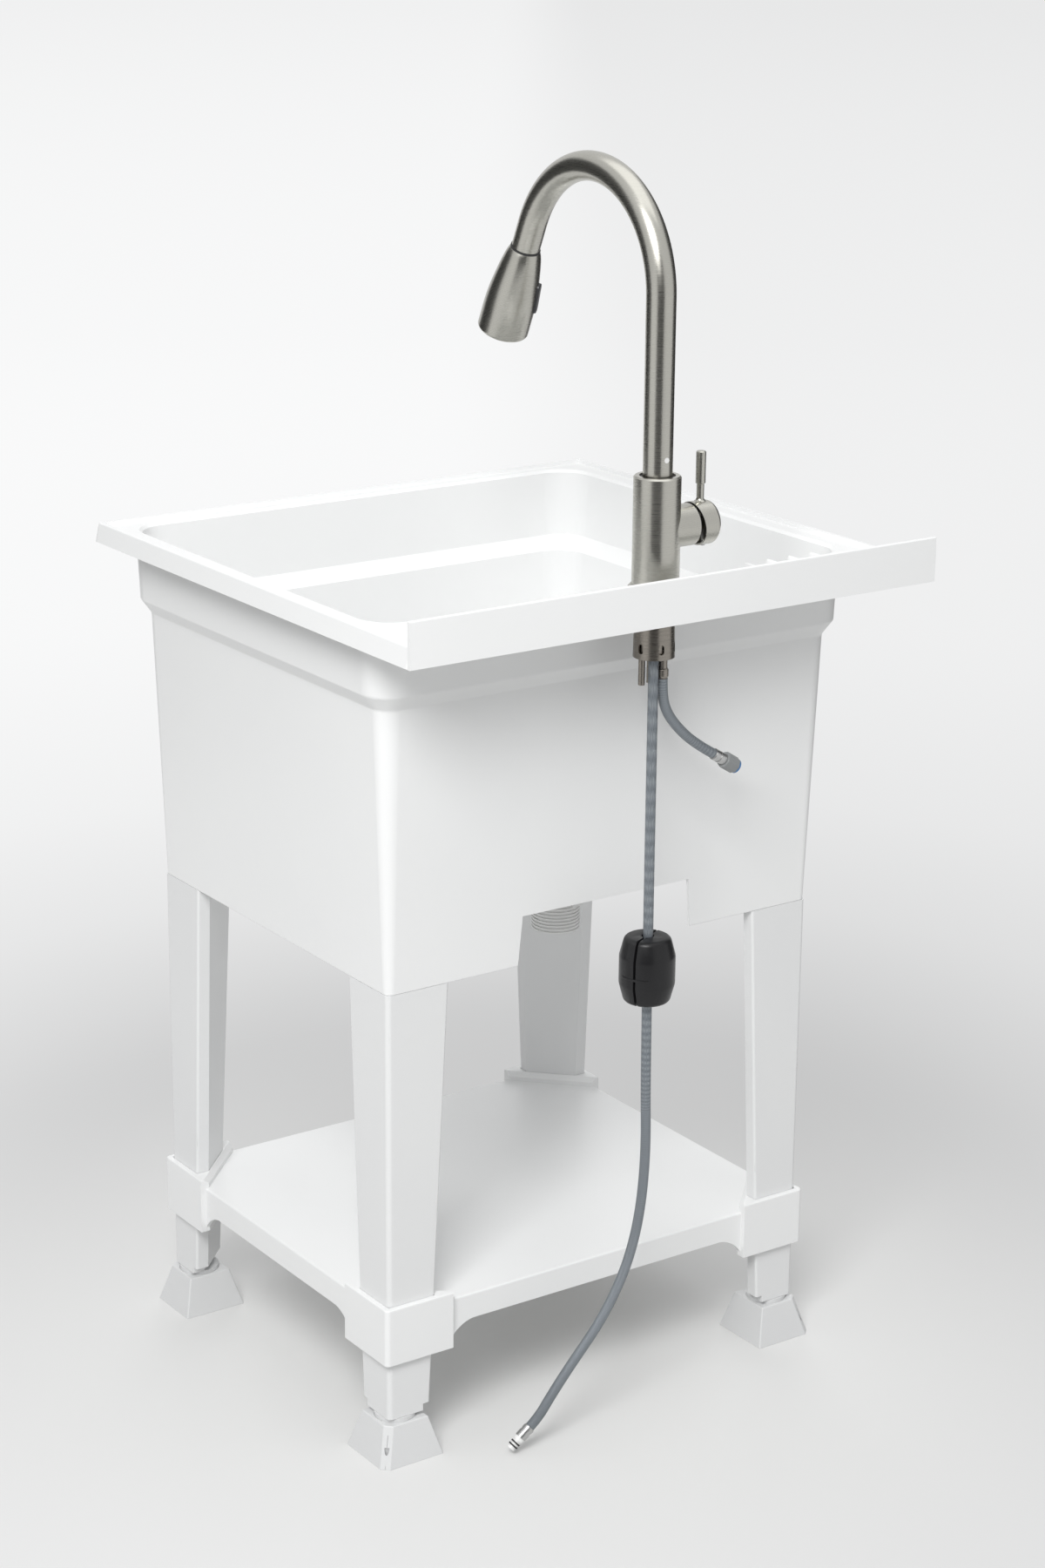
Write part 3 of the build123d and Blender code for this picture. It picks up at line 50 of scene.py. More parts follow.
bpy.ops.object.select_all(action="DESELECT")

# ================================================================ camera
# A long lens at eye height behind the sink, off its corner, looking slightly down.
# The long side that carries the tap and one end of the sink face the lens.
standpoint = (1.78395, 2.60344, 1.60025)
azimuth, elevation, roll = radians(55.229), radians(17.375), radians(0.511)
backward = Vector((cos(elevation) * cos(azimuth), cos(elevation) * sin(azimuth), sin(elevation)))
level = Vector((0, 0, 1)).cross(backward).normalized()
upright = backward.cross(level)
across = level * cos(roll) + upright * sin(roll)
upward = upright * cos(roll) - level * sin(roll)
lens = bpy.data.cameras.new("studio_lens")
lens.sensor_fit = "VERTICAL"
lens.sensor_height = 36
lens.lens = 74.376
camera = bpy.data.objects.new("studio_camera", lens)
camera.matrix_world = (Matrix.Translation(standpoint)
                       @ Matrix((across, upward, backward)).transposed().to_4x4())
scene.collection.objects.link(camera)
scene.camera = camera

# ================================================================ tub
# One polypropylene moulding: rim with a turned-down lip, splash, basin, and an open skirt below the floor.
# Satin tool finish all over, with the slight cloudiness that thick white mouldings have.


def effect_group(name, inputs, outputs):
    """An empty shader group with its sockets named, and its two end nodes."""
    tree = bpy.data.node_groups.new(name, "ShaderNodeTree")
    for label, kind in inputs:
        tree.interface.new_socket(label, in_out="INPUT", socket_type=kind)
    for label, kind in outputs:
        tree.interface.new_socket(label, in_out="OUTPUT", socket_type=kind)
    return tree, tree.nodes.new("NodeGroupInput"), tree.nodes.new("NodeGroupOutput")


FLOAT, COLOUR, VECTOR = "NodeSocketFloat", "NodeSocketColor", "NodeSocketVector"

moulded_skin, given, result = effect_group(
    "moulded_skin",
    [("Colour", COLOUR), ("Cloud Colour", COLOUR), ("Cloud Scale", FLOAT), ("Grain Scale", FLOAT),
     ("Smooth", FLOAT), ("Rough", FLOAT)],
    [("Colour", COLOUR), ("Roughness", FLOAT), ("Height", FLOAT)])
place = moulded_skin.nodes.new("ShaderNodeTexCoord")
cloud = moulded_skin.nodes.new("ShaderNodeTexNoise")
cloud.inputs["Detail"].default_value = 3
grain = moulded_skin.nodes.new("ShaderNodeTexNoise")
grain.inputs["Detail"].default_value = 4
grain.inputs["Roughness"].default_value = 0.6
blend_colour = moulded_skin.nodes.new("ShaderNodeMix")
blend_colour.data_type = "RGBA"
spread = moulded_skin.nodes.new("ShaderNodeMapRange")
join = moulded_skin.links.new
join(place.outputs["Object"], cloud.inputs["Vector"])
join(place.outputs["Object"], grain.inputs["Vector"])
join(given.outputs["Cloud Scale"], cloud.inputs["Scale"])
join(given.outputs["Grain Scale"], grain.inputs["Scale"])
join(cloud.outputs["Fac"], blend_colour.inputs["Factor"])
join(given.outputs["Colour"], blend_colour.inputs[6])
join(given.outputs["Cloud Colour"], blend_colour.inputs[7])
join(grain.outputs["Fac"], spread.inputs["Value"])
spread.inputs["From Min"].default_value = 0.3
spread.inputs["From Max"].default_value = 0.7
join(given.outputs["Smooth"], spread.inputs["To Min"])
join(given.outputs["Rough"], spread.inputs["To Max"])
join(blend_colour.outputs[2], result.inputs["Colour"])
join(spread.outputs["Result"], result.inputs["Roughness"])
join(grain.outputs["Fac"], result.inputs["Height"])


def finish_from(name, effect, values, relief=0.1, depth=0.0002, **fixed):
    """A material whose colour, roughness and relief come from an effect; fixed are plain shader values."""
    material = bpy.data.materials.new(name)
    material.use_nodes = True
    tree = material.node_tree
    shader = tree.nodes["Principled BSDF"]
    for label, value in fixed.items():
        shader.inputs[label.replace("_", " ")].default_value = value
    source = tree.nodes.new("ShaderNodeGroup")
    source.node_tree = effect
    for label, value in values.items():
        source.inputs[label].default_value = value
    bump = tree.nodes.new("ShaderNodeBump")
    bump.inputs["Strength"].default_value = relief
    bump.inputs["Distance"].default_value = depth
    tree.links.new(source.outputs["Colour"], shader.inputs["Base Color"])
    tree.links.new(source.outputs["Roughness"], shader.inputs["Roughness"])
    tree.links.new(source.outputs["Height"], bump.inputs["Height"])
    tree.links.new(bump.outputs["Normal"], shader.inputs["Normal"])
    return material


def dress(material, *names):
    """Give CAD pieces a finish."""
    for name in names:
        for socket in nodes[name].material_slots:
            socket.material = material


white_polypropylene = finish_from(
    "white_polypropylene", moulded_skin,
    {"Colour": (0.88, 0.885, 0.88, 1), "Cloud Colour": (0.84, 0.845, 0.845, 1), "Cloud Scale": 5,
     "Grain Scale": 700, "Smooth": 0.30, "Rough": 0.40}, relief=0.12, depth=0.0003, IOR=1.49)
dress(white_polypropylene, "tub")

# ================================================================ drain
# A threaded plastic waste with a soft gasket and a lugged nut under the floor, clamped on the basin's boss.
# A punched steel strainer lies in its flange, and a rubber stopper with a knob closes it.
waste_plastic = finish_from(
    "waste_plastic", moulded_skin,
    {"Colour": (0.83, 0.83, 0.82, 1), "Cloud Colour": (0.78, 0.78, 0.77, 1), "Cloud Scale": 30,
     "Grain Scale": 1500, "Smooth": 0.35, "Rough": 0.5}, relief=0.15)
soft_rubber = finish_from(
    "soft_rubber", moulded_skin,
    {"Colour": (0.022, 0.022, 0.023, 1), "Cloud Colour": (0.035, 0.035, 0.036, 1), "Cloud Scale": 60,
     "Grain Scale": 2500, "Smooth": 0.5, "Rough": 0.68}, relief=0.25)
dress(waste_plastic, "drain_body", "drain_locknut")
dress(soft_rubber, "drain_gasket", "drain_stopper")

brushed_lines, given, result = effect_group(
    "brushed_lines",
    [("Colour", COLOUR), ("Line Colour", COLOUR), ("Turn", VECTOR), ("Stretch", VECTOR), ("Smooth", FLOAT),
     ("Rough", FLOAT)],
    [("Colour", COLOUR), ("Roughness", FLOAT), ("Height", FLOAT)])
place = brushed_lines.nodes.new("ShaderNodeTexCoord")
turned = brushed_lines.nodes.new("ShaderNodeMapping")
stretched = brushed_lines.nodes.new("ShaderNodeMapping")
strokes = brushed_lines.nodes.new("ShaderNodeTexNoise")
strokes.inputs["Scale"].default_value = 1
strokes.inputs["Detail"].default_value = 5
strokes.inputs["Roughness"].default_value = 0.7
blend_colour = brushed_lines.nodes.new("ShaderNodeMix")
blend_colour.data_type = "RGBA"
spread = brushed_lines.nodes.new("ShaderNodeMapRange")
spread.inputs["From Min"].default_value = 0.3
spread.inputs["From Max"].default_value = 0.7
join = brushed_lines.links.new
join(place.outputs["Object"], turned.inputs["Vector"])
join(given.outputs["Turn"], turned.inputs["Rotation"])
join(turned.outputs["Vector"], stretched.inputs["Vector"])
join(given.outputs["Stretch"], stretched.inputs["Scale"])
join(stretched.outputs["Vector"], strokes.inputs["Vector"])
join(strokes.outputs["Fac"], blend_colour.inputs["Factor"])
join(given.outputs["Colour"], blend_colour.inputs[6])
join(given.outputs["Line Colour"], blend_colour.inputs[7])
join(strokes.outputs["Fac"], spread.inputs["Value"])
join(given.outputs["Smooth"], spread.inputs["To Min"])
join(given.outputs["Rough"], spread.inputs["To Max"])
join(blend_colour.outputs[2], result.inputs["Colour"])
join(spread.outputs["Result"], result.inputs["Roughness"])
join(strokes.outputs["Fac"], result.inputs["Height"])

punched_steel = finish_from(
    "punched_steel", brushed_lines,
    {"Colour": (0.62, 0.62, 0.61, 1), "Line Colour": (0.48, 0.48, 0.48, 1), "Stretch": (60, 2500, 2500),
     "Smooth": 0.22, "Rough": 0.36}, relief=0.1, Metallic=1.0)
dress(punched_steel, "drain_strainer")

# ================================================================ legs
# Four hollow legs of the same plastic, moulded with a slanted inner face and tapering to a short neck.
# Each is pushed up into a corner of the tub's skirt by its narrower tongue.
leg_plastic = finish_from(
    "leg_plastic", moulded_skin,
    {"Colour": (0.80, 0.805, 0.80, 1), "Cloud Colour": (0.76, 0.765, 0.77, 1), "Cloud Scale": 7,
     "Grain Scale": 700, "Smooth": 0.32, "Rough": 0.42}, relief=0.12, depth=0.0003, IOR=1.49)
dress(leg_plastic, "leg_rear_right", "leg_rear_left", "leg_front_right", "leg_front_left")

# ================================================================ levellers and floor caps
# Moulded discs on coarse threaded stems, screwed up into the legs' necks, so that they set the height.
# Each disc stands in the recess of a square floor cap with splayed sides and one cut corner.
cap_plastic = finish_from(
    "cap_plastic", moulded_skin,
    {"Colour": (0.72, 0.725, 0.72, 1), "Cloud Colour": (0.68, 0.685, 0.69, 1), "Cloud Scale": 9,
     "Grain Scale": 800, "Smooth": 0.34, "Rough": 0.46}, relief=0.12, depth=0.0003, IOR=1.49)
dress(cap_plastic, "leveller_rear_right", "leveller_rear_left", "leveller_front_right", "leveller_front_left",
      "foot_rear_right", "foot_rear_left", "foot_front_right", "foot_front_left")

# ================================================================ shelf
# A thin moulded tray with a turned-down lip, and a deep socket at each corner that slides down over the leg.
# Curved brackets under the lip brace the sockets.
dress(white_polypropylene, "shelf")

# ================================================================ tap: mounting
# The tap's flange stands on a rubber ring on the deck. Under it a threaded tube takes a washer and a long
# bell nut, which is a darker casting, slotted round its skirt for a wrench.
tap_nickel = {"Colour": (0.53, 0.52, 0.475, 1), "Line Colour": (0.46, 0.45, 0.41, 1),
              "Smooth": 0.24, "Rough": 0.33}
upright_nickel = finish_from("upright_nickel", brushed_lines, {**tap_nickel, "Stretch": (25, 25, 2600)},
                             relief=0.12, depth=0.0001, Metallic=1.0)
cast_nickel = finish_from(
    "cast_nickel", brushed_lines,
    {"Colour": (0.33, 0.305, 0.27, 1), "Line Colour": (0.23, 0.21, 0.185, 1), "Stretch": (40, 40, 1200),
     "Smooth": 0.22, "Rough": 0.40}, relief=0.15, Metallic=1.0)
plain_steel = finish_from(
    "plain_steel", brushed_lines,
    {"Colour": (0.58, 0.58, 0.57, 1), "Line Colour": (0.46, 0.46, 0.46, 1), "Stretch": (40, 40, 2400),
     "Smooth": 0.24, "Rough": 0.38}, relief=0.1, Metallic=1.0)
black_moulding = finish_from(
    "black_moulding", moulded_skin,
    {"Colour": (0.018, 0.018, 0.02, 1), "Cloud Colour": (0.028, 0.028, 0.03, 1), "Cloud Scale": 50,
     "Grain Scale": 2000, "Smooth": 0.3, "Rough": 0.42}, relief=0.12)
dress(upright_nickel, "base_flange")
dress(cast_nickel, "mounting_nut", "mounting_shank", "cold_inlet_tail", "hot_inlet_tail")
dress(plain_steel, "clamp_washer")
dress(soft_rubber, "base_gasket", "deck_washer")
dress(black_moulding, "hose_guide")

# ================================================================ tap: body and side valve
# A turned column with the valve's barrel on its side. The mixing cartridge sits in the barrel behind a black
# ring, and a cup-shaped cap with a thin upright lever turns and tips it.
sideways_nickel = finish_from("sideways_nickel", brushed_lines, {**tap_nickel, "Stretch": (2600, 25, 25)},
                              relief=0.12, depth=0.0001, Metallic=1.0)
dress(upright_nickel, "faucet_body", "handle_lever")
dress(sideways_nickel, "handle_cap")
dress(black_moulding, "bonnet_ring", "valve_cartridge", "cartridge_carrier", "swivel_bush", "thrust_washer")
dress(plain_steel, "cartridge_stem", "handle_set_screw")

# ================================================================ spout
# A bent tube that turns in a plastic bush in the body, with a small white plug in its back.
# A plastic bush in its end guides the hose and docks the spray head.
plug_plastic = finish_from(
    "plug_plastic", moulded_skin,
    {"Colour": (0.85, 0.85, 0.84, 1), "Cloud Colour": (0.8, 0.8, 0.79, 1), "Cloud Scale": 80,
     "Grain Scale": 3000, "Smooth": 0.3, "Rough": 0.4})
dress(upright_nickel, "spout_tube")
dress(plug_plastic, "spout_plug")
dress(black_moulding, "dock_bush")

# ================================================================ spray head
# A flared metal shell with a rubber seam at its top, a black rocker in its side and a rubber spray face.
# It hangs on its hose and docks on the spout's end.
head_tilt = radians(24.5)
head_nickel = finish_from("head_nickel", brushed_lines,
                          {**tap_nickel, "Turn": (-head_tilt, 0, 0), "Stretch": (25, 25, 2600)},
                          relief=0.12, depth=0.0001, Metallic=1.0)
dress(head_nickel, "spray_shell")
dress(soft_rubber, "spray_collar", "spray_nozzle")
dress(black_moulding, "spray_core", "spray_button")

# ================================================================ hose inside the spout
# The braided hose comes up through the body and round the bend to the docked head.
# Its last stretch is drawn out with the head; the rest slides round unseen inside the tube.
braided_sleeve, given, result = effect_group(
    "braided_sleeve",
    [("Thread", COLOUR), ("Second Thread", COLOUR), ("Gap", COLOUR), ("Strands", FLOAT), ("Picks", FLOAT)],
    [("Colour", COLOUR), ("Roughness", FLOAT), ("Height", FLOAT)])


def reckon(tree, operation, first, second=0.0):
    """One sum on two values, each a socket or a number."""
    step = tree.nodes.new("ShaderNodeMath")
    step.operation = operation
    for place_in, value in zip(step.inputs, (first, second)):
        if hasattr(value, "is_output"):
            tree.links.new(value, place_in)
        else:
            place_in.default_value = value
    return step.outputs[0]


along = braided_sleeve.nodes.new("ShaderNodeUVMap")
split = braided_sleeve.nodes.new("ShaderNodeSeparateXYZ")
join = braided_sleeve.links.new
join(along.outputs["UV"], split.inputs["Vector"])
strand_turns = reckon(braided_sleeve, "MULTIPLY", split.outputs["Y"], given.outputs["Strands"])
pick_turns = reckon(braided_sleeve, "MULTIPLY", split.outputs["X"], given.outputs["Picks"])
right_wave = reckon(braided_sleeve, "SINE", reckon(
    braided_sleeve, "MULTIPLY", reckon(braided_sleeve, "ADD", strand_turns, pick_turns), pi))
left_wave = reckon(braided_sleeve, "SINE", reckon(
    braided_sleeve, "MULTIPLY", reckon(braided_sleeve, "SUBTRACT", strand_turns, pick_turns), pi))
over = reckon(braided_sleeve, "GREATER_THAN", reckon(braided_sleeve, "MULTIPLY", right_wave, left_wave), 0)
right_thread = reckon(braided_sleeve, "ABSOLUTE", right_wave)
left_thread = reckon(braided_sleeve, "ABSOLUTE", left_wave)
relief_mix = braided_sleeve.nodes.new("ShaderNodeMix")
join(over, relief_mix.inputs[0])
join(right_thread, relief_mix.inputs[2])
join(left_thread, relief_mix.inputs[3])
thread_mix = braided_sleeve.nodes.new("ShaderNodeMix")
thread_mix.data_type = "RGBA"
join(over, thread_mix.inputs["Factor"])
join(given.outputs["Thread"], thread_mix.inputs[6])
join(given.outputs["Second Thread"], thread_mix.inputs[7])
gap_mix = braided_sleeve.nodes.new("ShaderNodeMix")
gap_mix.data_type = "RGBA"
raised = braided_sleeve.nodes.new("ShaderNodeMapRange")
raised.inputs["From Min"].default_value = 0.1
raised.inputs["From Max"].default_value = 0.5
join(relief_mix.outputs[0], raised.inputs["Value"])
join(raised.outputs["Result"], gap_mix.inputs["Factor"])
join(given.outputs["Gap"], gap_mix.inputs[6])
join(thread_mix.outputs[2], gap_mix.inputs[7])
shine = braided_sleeve.nodes.new("ShaderNodeMapRange")
shine.inputs["To Min"].default_value = 0.5
shine.inputs["To Max"].default_value = 0.30
join(relief_mix.outputs[0], shine.inputs["Value"])
join(gap_mix.outputs[2], result.inputs["Colour"])
join(shine.outputs["Result"], result.inputs["Roughness"])
join(relief_mix.outputs[0], result.inputs["Height"])

tap_y = 0.249
hose_radius = 0.005
pick_spacing = 0.0024


def braid(name, length):
    """Braided nylon for a hose of that length, with 24 strands round it."""
    return finish_from(
        name, braided_sleeve,
        {"Thread": (0.31, 0.34, 0.365, 1), "Second Thread": (0.22, 0.245, 0.27, 1),
         "Gap": (0.05, 0.055, 0.065, 1), "Strands": 24, "Picks": round(length / pick_spacing)},
        relief=0.6, depth=0.0004, Metallic=0.4)


def hose(name, route, material):
    """A hose along a smooth NURBS line whose control points are the route's."""
    line = bpy.data.curves.new(name, "CURVE")
    line.dimensions = "3D"
    spline = line.splines.new("NURBS")
    spline.points.add(len(route) - 1)
    for point, (x, y, z) in zip(spline.points, route):
        point.co = (x, y, z, 1)
    spline.order_u = 3
    spline.use_endpoint_u = True
    spline.resolution_u = 24
    line.bevel_depth = hose_radius
    line.bevel_resolution = 6
    line.use_fill_caps = True
    line.materials.append(material)
    piece = bpy.data.objects.new(name, line)
    scene.collection.objects.link(piece)
    return piece


bend_radius, bend_y, bend_level = 0.108, 0.141, 1.1425
step_angle = (pi - head_tilt) / 4
corner_reach = bend_radius / cos(step_angle / 2)


def on_bend(reach, steps):
    """A point at that reach from the bend's centre, so many steps round from its start."""
    return (0, bend_y + reach * cos(steps * step_angle), bend_level + reach * sin(steps * step_angle))


bend_route = [on_bend(corner_reach, steps) for steps in (0.5, 1.5, 2.5, 3.5)]
bend_end = Vector(on_bend(bend_radius, 4))
nose = Vector((0, -sin(head_tilt), -cos(head_tilt)))
spout_route = [(0, tap_y, 1.0), *bend_route, tuple(bend_end)]
spout_hose = hose("spout_hose", spout_route, braid("spout_hose_braid", 0.51))
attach(spout_hose, "spout")
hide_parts("spray_hose")

drawn_route = [tuple(bend_end + nose * reach) for reach in (-0.002, 0.015, 0.031, 0.047)]
drawn_line = hose("drawn_line", drawn_route, braid("drawn_hose_braid", 0.049))
drawn_mesh = bpy.data.meshes.new_from_object(
    drawn_line.evaluated_get(bpy.context.evaluated_depsgraph_get()))
bpy.data.objects.remove(drawn_line)
drawn_hose = bpy.data.objects.new("drawn_hose", drawn_mesh)
scene.collection.objects.link(drawn_hose)
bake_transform(drawn_hose)

# ================================================================ hose weight
# Two heavy barrel halves in glossy black plastic, with a band round the middle and rounded ends.
# They close round the hose with a gap at the seam, where a snap strip holds them on each side.
glossy_black = finish_from(
    "glossy_black", moulded_skin,
    {"Colour": (0.010, 0.010, 0.011, 1), "Cloud Colour": (0.016, 0.016, 0.017, 1), "Cloud Scale": 40,
     "Grain Scale": 1500, "Smooth": 0.26, "Rough": 0.36}, relief=0.06, Specular_IOR_Level=0.3)
barrel_low, barrel_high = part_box("weight_half_a")
barrel_centre = Vector((0, tap_y, (barrel_low[2] + barrel_high[2]) / 2))
band_radius, band_reach, band_round = 0.0276, 0.0140, 0.0016
end_radius, barrel_reach, end_round = 0.0224, 0.0336, 0.0042
barrel_bore, seam_gap, seam_turn, shell_edge = 0.0062, 0.0026, radians(26.5), 0.0007
snap_stand, snap_depth, snap_height, snap_drop, snap_edge = 0.0004, 0.003, 0.0024, 0.0043, 0.0003
snap_ahead, snap_behind = radians(30), radians(34)
cutter_length, hair = 0.2, 1e-4


def select_edges(piece, wanted):
    """Leave just the edges that pass the test selected, in edge mode."""
    bpy.ops.mesh.select_mode(type="EDGE")
    bpy.ops.mesh.select_all(action="DESELECT")
    bpy.ops.object.mode_set(mode="OBJECT")
    points = piece.data.vertices
    for edge in piece.data.edges:
        edge.select = wanted(*(points[end].co for end in edge.vertices))
    bpy.ops.object.mode_set(mode="EDIT")


def at_end(one, two):
    """The edge runs round one of the barrel's two ends."""
    return min(abs(one.z - barrel_centre.z), abs(two.z - barrel_centre.z)) > barrel_reach - hair


def at_band(one, two):
    """The edge runs round one of the band's two sides."""
    return abs(one.z - two.z) < hair and abs(abs(one.z - barrel_centre.z) - band_reach) < hair


def cut_bore(piece, radius):
    """Cut a round hole down the barrel's axis."""
    bpy.ops.mesh.primitive_cylinder_add(vertices=48, radius=radius, depth=cutter_length,
                                        location=barrel_centre)
    cutter = bpy.context.object
    bpy.context.view_layer.objects.active = piece
    bore = piece.modifiers.new("bore", "BOOLEAN")
    bore.operation, bore.object = "DIFFERENCE", cutter
    bpy.ops.object.modifier_apply(modifier="bore")
    bpy.data.objects.remove(cutter)


def take_up(piece):
    """Make the piece the only one selected, and the active one."""
    bpy.ops.object.select_all(action="DESELECT")
    piece.select_set(True)
    bpy.context.view_layer.objects.active = piece


def slice_off(piece, through, outwards):
    """Cut the piece by a plane, drop what lies outwards and close the cut."""
    take_up(piece)
    bpy.ops.object.mode_set(mode="EDIT")
    bpy.ops.mesh.select_all(action="SELECT")
    bpy.ops.mesh.bisect(plane_co=through, plane_no=outwards, use_fill=True, clear_outer=True)
    bpy.ops.object.mode_set(mode="OBJECT")


def finish_moulding(piece, width):
    """Soften a moulding's edges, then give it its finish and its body."""
    take_up(piece)
    softened = piece.modifiers.new("softened", "BEVEL")
    softened.width, softened.segments = width, 2
    softened.limit_method, softened.angle_limit = "ANGLE", radians(50)
    bpy.ops.object.modifier_apply(modifier="softened")
    bpy.ops.object.shade_smooth_by_angle(angle=radians(35))
    piece.data.materials.clear()
    piece.data.materials.append(glossy_black)
    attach(piece, "hanging_hose")


bpy.ops.object.select_all(action="DESELECT")
bpy.ops.mesh.primitive_cylinder_add(vertices=72, radius=band_radius, depth=2 * band_reach,
                                    location=barrel_centre)
barrel = bpy.context.object
bpy.ops.object.transform_apply(location=True)
for side in (1, -1):
    bpy.ops.object.mode_set(mode="EDIT")
    bpy.ops.mesh.select_mode(type="FACE")
    bpy.ops.mesh.select_all(action="DESELECT")
    bpy.ops.object.mode_set(mode="OBJECT")
    for face in barrel.data.polygons:
        face.select = face.normal.z * side > 0.9
    bpy.ops.object.mode_set(mode="EDIT")
    bpy.ops.mesh.extrude_region_move(
        TRANSFORM_OT_translate={"value": (0, 0, side * (barrel_reach - band_reach))})
    bpy.ops.transform.resize(value=(end_radius / band_radius, end_radius / band_radius, 1),
                             center_override=barrel_centre)
select_edges(barrel, at_end)
bpy.ops.mesh.bevel(offset=end_round, segments=4, affect="EDGES")
select_edges(barrel, at_band)
bpy.ops.mesh.bevel(offset=band_round, segments=2, affect="EDGES")
bpy.ops.object.mode_set(mode="OBJECT")
cut_bore(barrel, barrel_bore)
seam_normal = Vector((-sin(seam_turn), cos(seam_turn), 0))
for name, side in (("weight_shell_a", -1), ("weight_shell_b", 1)):
    shell = bpy.data.objects.new(name, barrel.data.copy())
    scene.collection.objects.link(shell)
    slice_off(shell, barrel_centre + seam_normal * side * seam_gap / 2, -seam_normal * side)
    finish_moulding(shell, shell_edge)
bpy.data.objects.remove(barrel)
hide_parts("weight_half_a")
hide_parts("weight_half_b", "weight_screws")
for name, facing in (("weight_snap_a", seam_turn), ("weight_snap_b", seam_turn + radians(180))):
    bpy.ops.mesh.primitive_cylinder_add(vertices=96, radius=band_radius + snap_stand, depth=snap_height,
                                        location=barrel_centre - Vector((0, 0, snap_drop)))
    snap = bpy.context.object
    snap.name = name
    bpy.ops.object.transform_apply(location=True)
    cut_bore(snap, band_radius - snap_depth)
    for turn, sense in ((facing + snap_ahead, 1), (facing - snap_behind, -1)):
        slice_off(snap, barrel_centre, Vector((-sin(turn), cos(turn), 0)) * sense)
    finish_moulding(snap, snap_edge)

# ================================================================ hanging hose
# The same hose hangs from the tap's shank, straight down through its weight, then swings out to the floor.
# Its free end has a crimped steel ferrule and a white plug-in nipple with two rubber rings.
main_route = [(0, tap_y, 0.815), (0, tap_y, 0.395), (-0.004, 0.2493, 0.283),
              (0.0075, 0.2482, 0.197), (0.038, 0.246, 0.132), (0.084, 0.2426, 0.0785),
              (0.1045, 0.2409, 0.052), (0.1168, 0.240, 0.0346), (0.1265, 0.2387, 0.026)]
hanging_hose = hose("hanging_hose", main_route, braid("hanging_hose_braid", 0.828))
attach(hanging_hose, "hanging_hose")
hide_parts("main_hose")
dress(plain_steel, "hose_ferrule")
dress(plug_plastic, "hose_nipple")
dress(soft_rubber, "hose_orings")

# ================================================================ outlet hose
# A short braided hose from the valve's outlet, ending in a grey quick connector with a blue release ring.
# The hanging hose's nipple plugs into it when the tap is plumbed in.
outlet_route = [(-0.011, tap_y, 0.781), (-0.011, tap_y, 0.764), (-0.0162, 0.2495, 0.747),
                (-0.0285, 0.2503, 0.7305), (-0.049, 0.251, 0.7115), (-0.0725, 0.251, 0.697)]
outlet_tail = hose("outlet_tail", outlet_route, braid("outlet_tail_braid", 0.111))
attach(outlet_tail, "base")
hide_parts("outlet_hose")
grey_moulding = finish_from(
    "grey_moulding", moulded_skin,
    {"Colour": (0.27, 0.28, 0.28, 1), "Cloud Colour": (0.22, 0.23, 0.235, 1), "Cloud Scale": 60,
     "Grain Scale": 2500, "Smooth": 0.35, "Rough": 0.48}, relief=0.12)
blue_moulding = finish_from(
    "blue_moulding", moulded_skin,
    {"Colour": (0.045, 0.17, 0.40, 1), "Cloud Colour": (0.06, 0.20, 0.44, 1), "Cloud Scale": 60,
     "Grain Scale": 2500, "Smooth": 0.3, "Rough": 0.42}, relief=0.12)
dress(cast_nickel, "outlet_fitting")
dress(plain_steel, "outlet_ferrule")
dress(grey_moulding, "quick_connector")
dress(blue_moulding, "quick_release_ring")

# ================================================================ studio
# A pale floor with a painted pool of shade behind the sink and painted shade towards the right of the view,
# lit by one big soft light high over the camera, one overhead and a low fill behind. Dark screens that only
# glossy rays meet give the tap its lengthwise bands.
floor_reach, floor_level = 40, -0.0002
bpy.ops.mesh.primitive_circle_add(vertices=64, radius=floor_reach, fill_type="NGON",
                                  location=(0, 0, floor_level))
floor = bpy.context.object
floor.name = "studio_floor"
bpy.ops.object.transform_apply(location=True)


def seen_directly(tree):
    """1 for rays that see the surface itself, also in metal or glass; 0 for the light that it throws."""
    rays = tree.nodes.new("ShaderNodeLightPath")
    return reckon(tree, "MAXIMUM", rays.outputs["Is Camera Ray"],
                  reckon(tree, "MAXIMUM", rays.outputs["Is Glossy Ray"], rays.outputs["Is Transmission Ray"]))


def measure(tree, operation, place, other=(0, 0, 0)):
    """A length, distance or product that a place gives with another vector."""
    step = tree.nodes.new("ShaderNodeVectorMath")
    step.operation = operation
    tree.links.new(place, step.inputs[0])
    step.inputs[1].default_value = other
    return step.outputs["Value"]


def ramp_over(tree, value, low, high, first=0, last=1, smooth=True):
    """A value led from first to last as it goes from low to high."""
    step = tree.nodes.new("ShaderNodeMapRange")
    step.interpolation_type = "SMOOTHSTEP" if smooth else "LINEAR"
    for label, number in (("From Min", low), ("From Max", high), ("To Min", first), ("To Max", last)):
        step.inputs[label].default_value = number
    tree.links.new(value, step.inputs["Value"])
    return step.outputs["Result"]


floor_material = bpy.data.materials.new("studio_floor")
floor_material.use_nodes = True
tree = floor_material.node_tree
join = tree.links.new
place = tree.nodes.new("ShaderNodeTexCoord").outputs["Object"]
seen = seen_directly(tree)

lit = tree.nodes["Principled BSDF"]
lit.inputs["Roughness"].default_value = 0.7
lit.inputs["Specular IOR Level"].default_value = 0.2
surface_colour = tree.nodes.new("ShaderNodeMix")
surface_colour.data_type = "RGBA"
surface_colour.inputs[6].default_value = (0.60, 0.60, 0.595, 1)
surface_colour.inputs[7].default_value = (0.80, 0.80, 0.79, 1)
join(seen, surface_colour.inputs["Factor"])
join(surface_colour.outputs[2], lit.inputs["Base Color"])
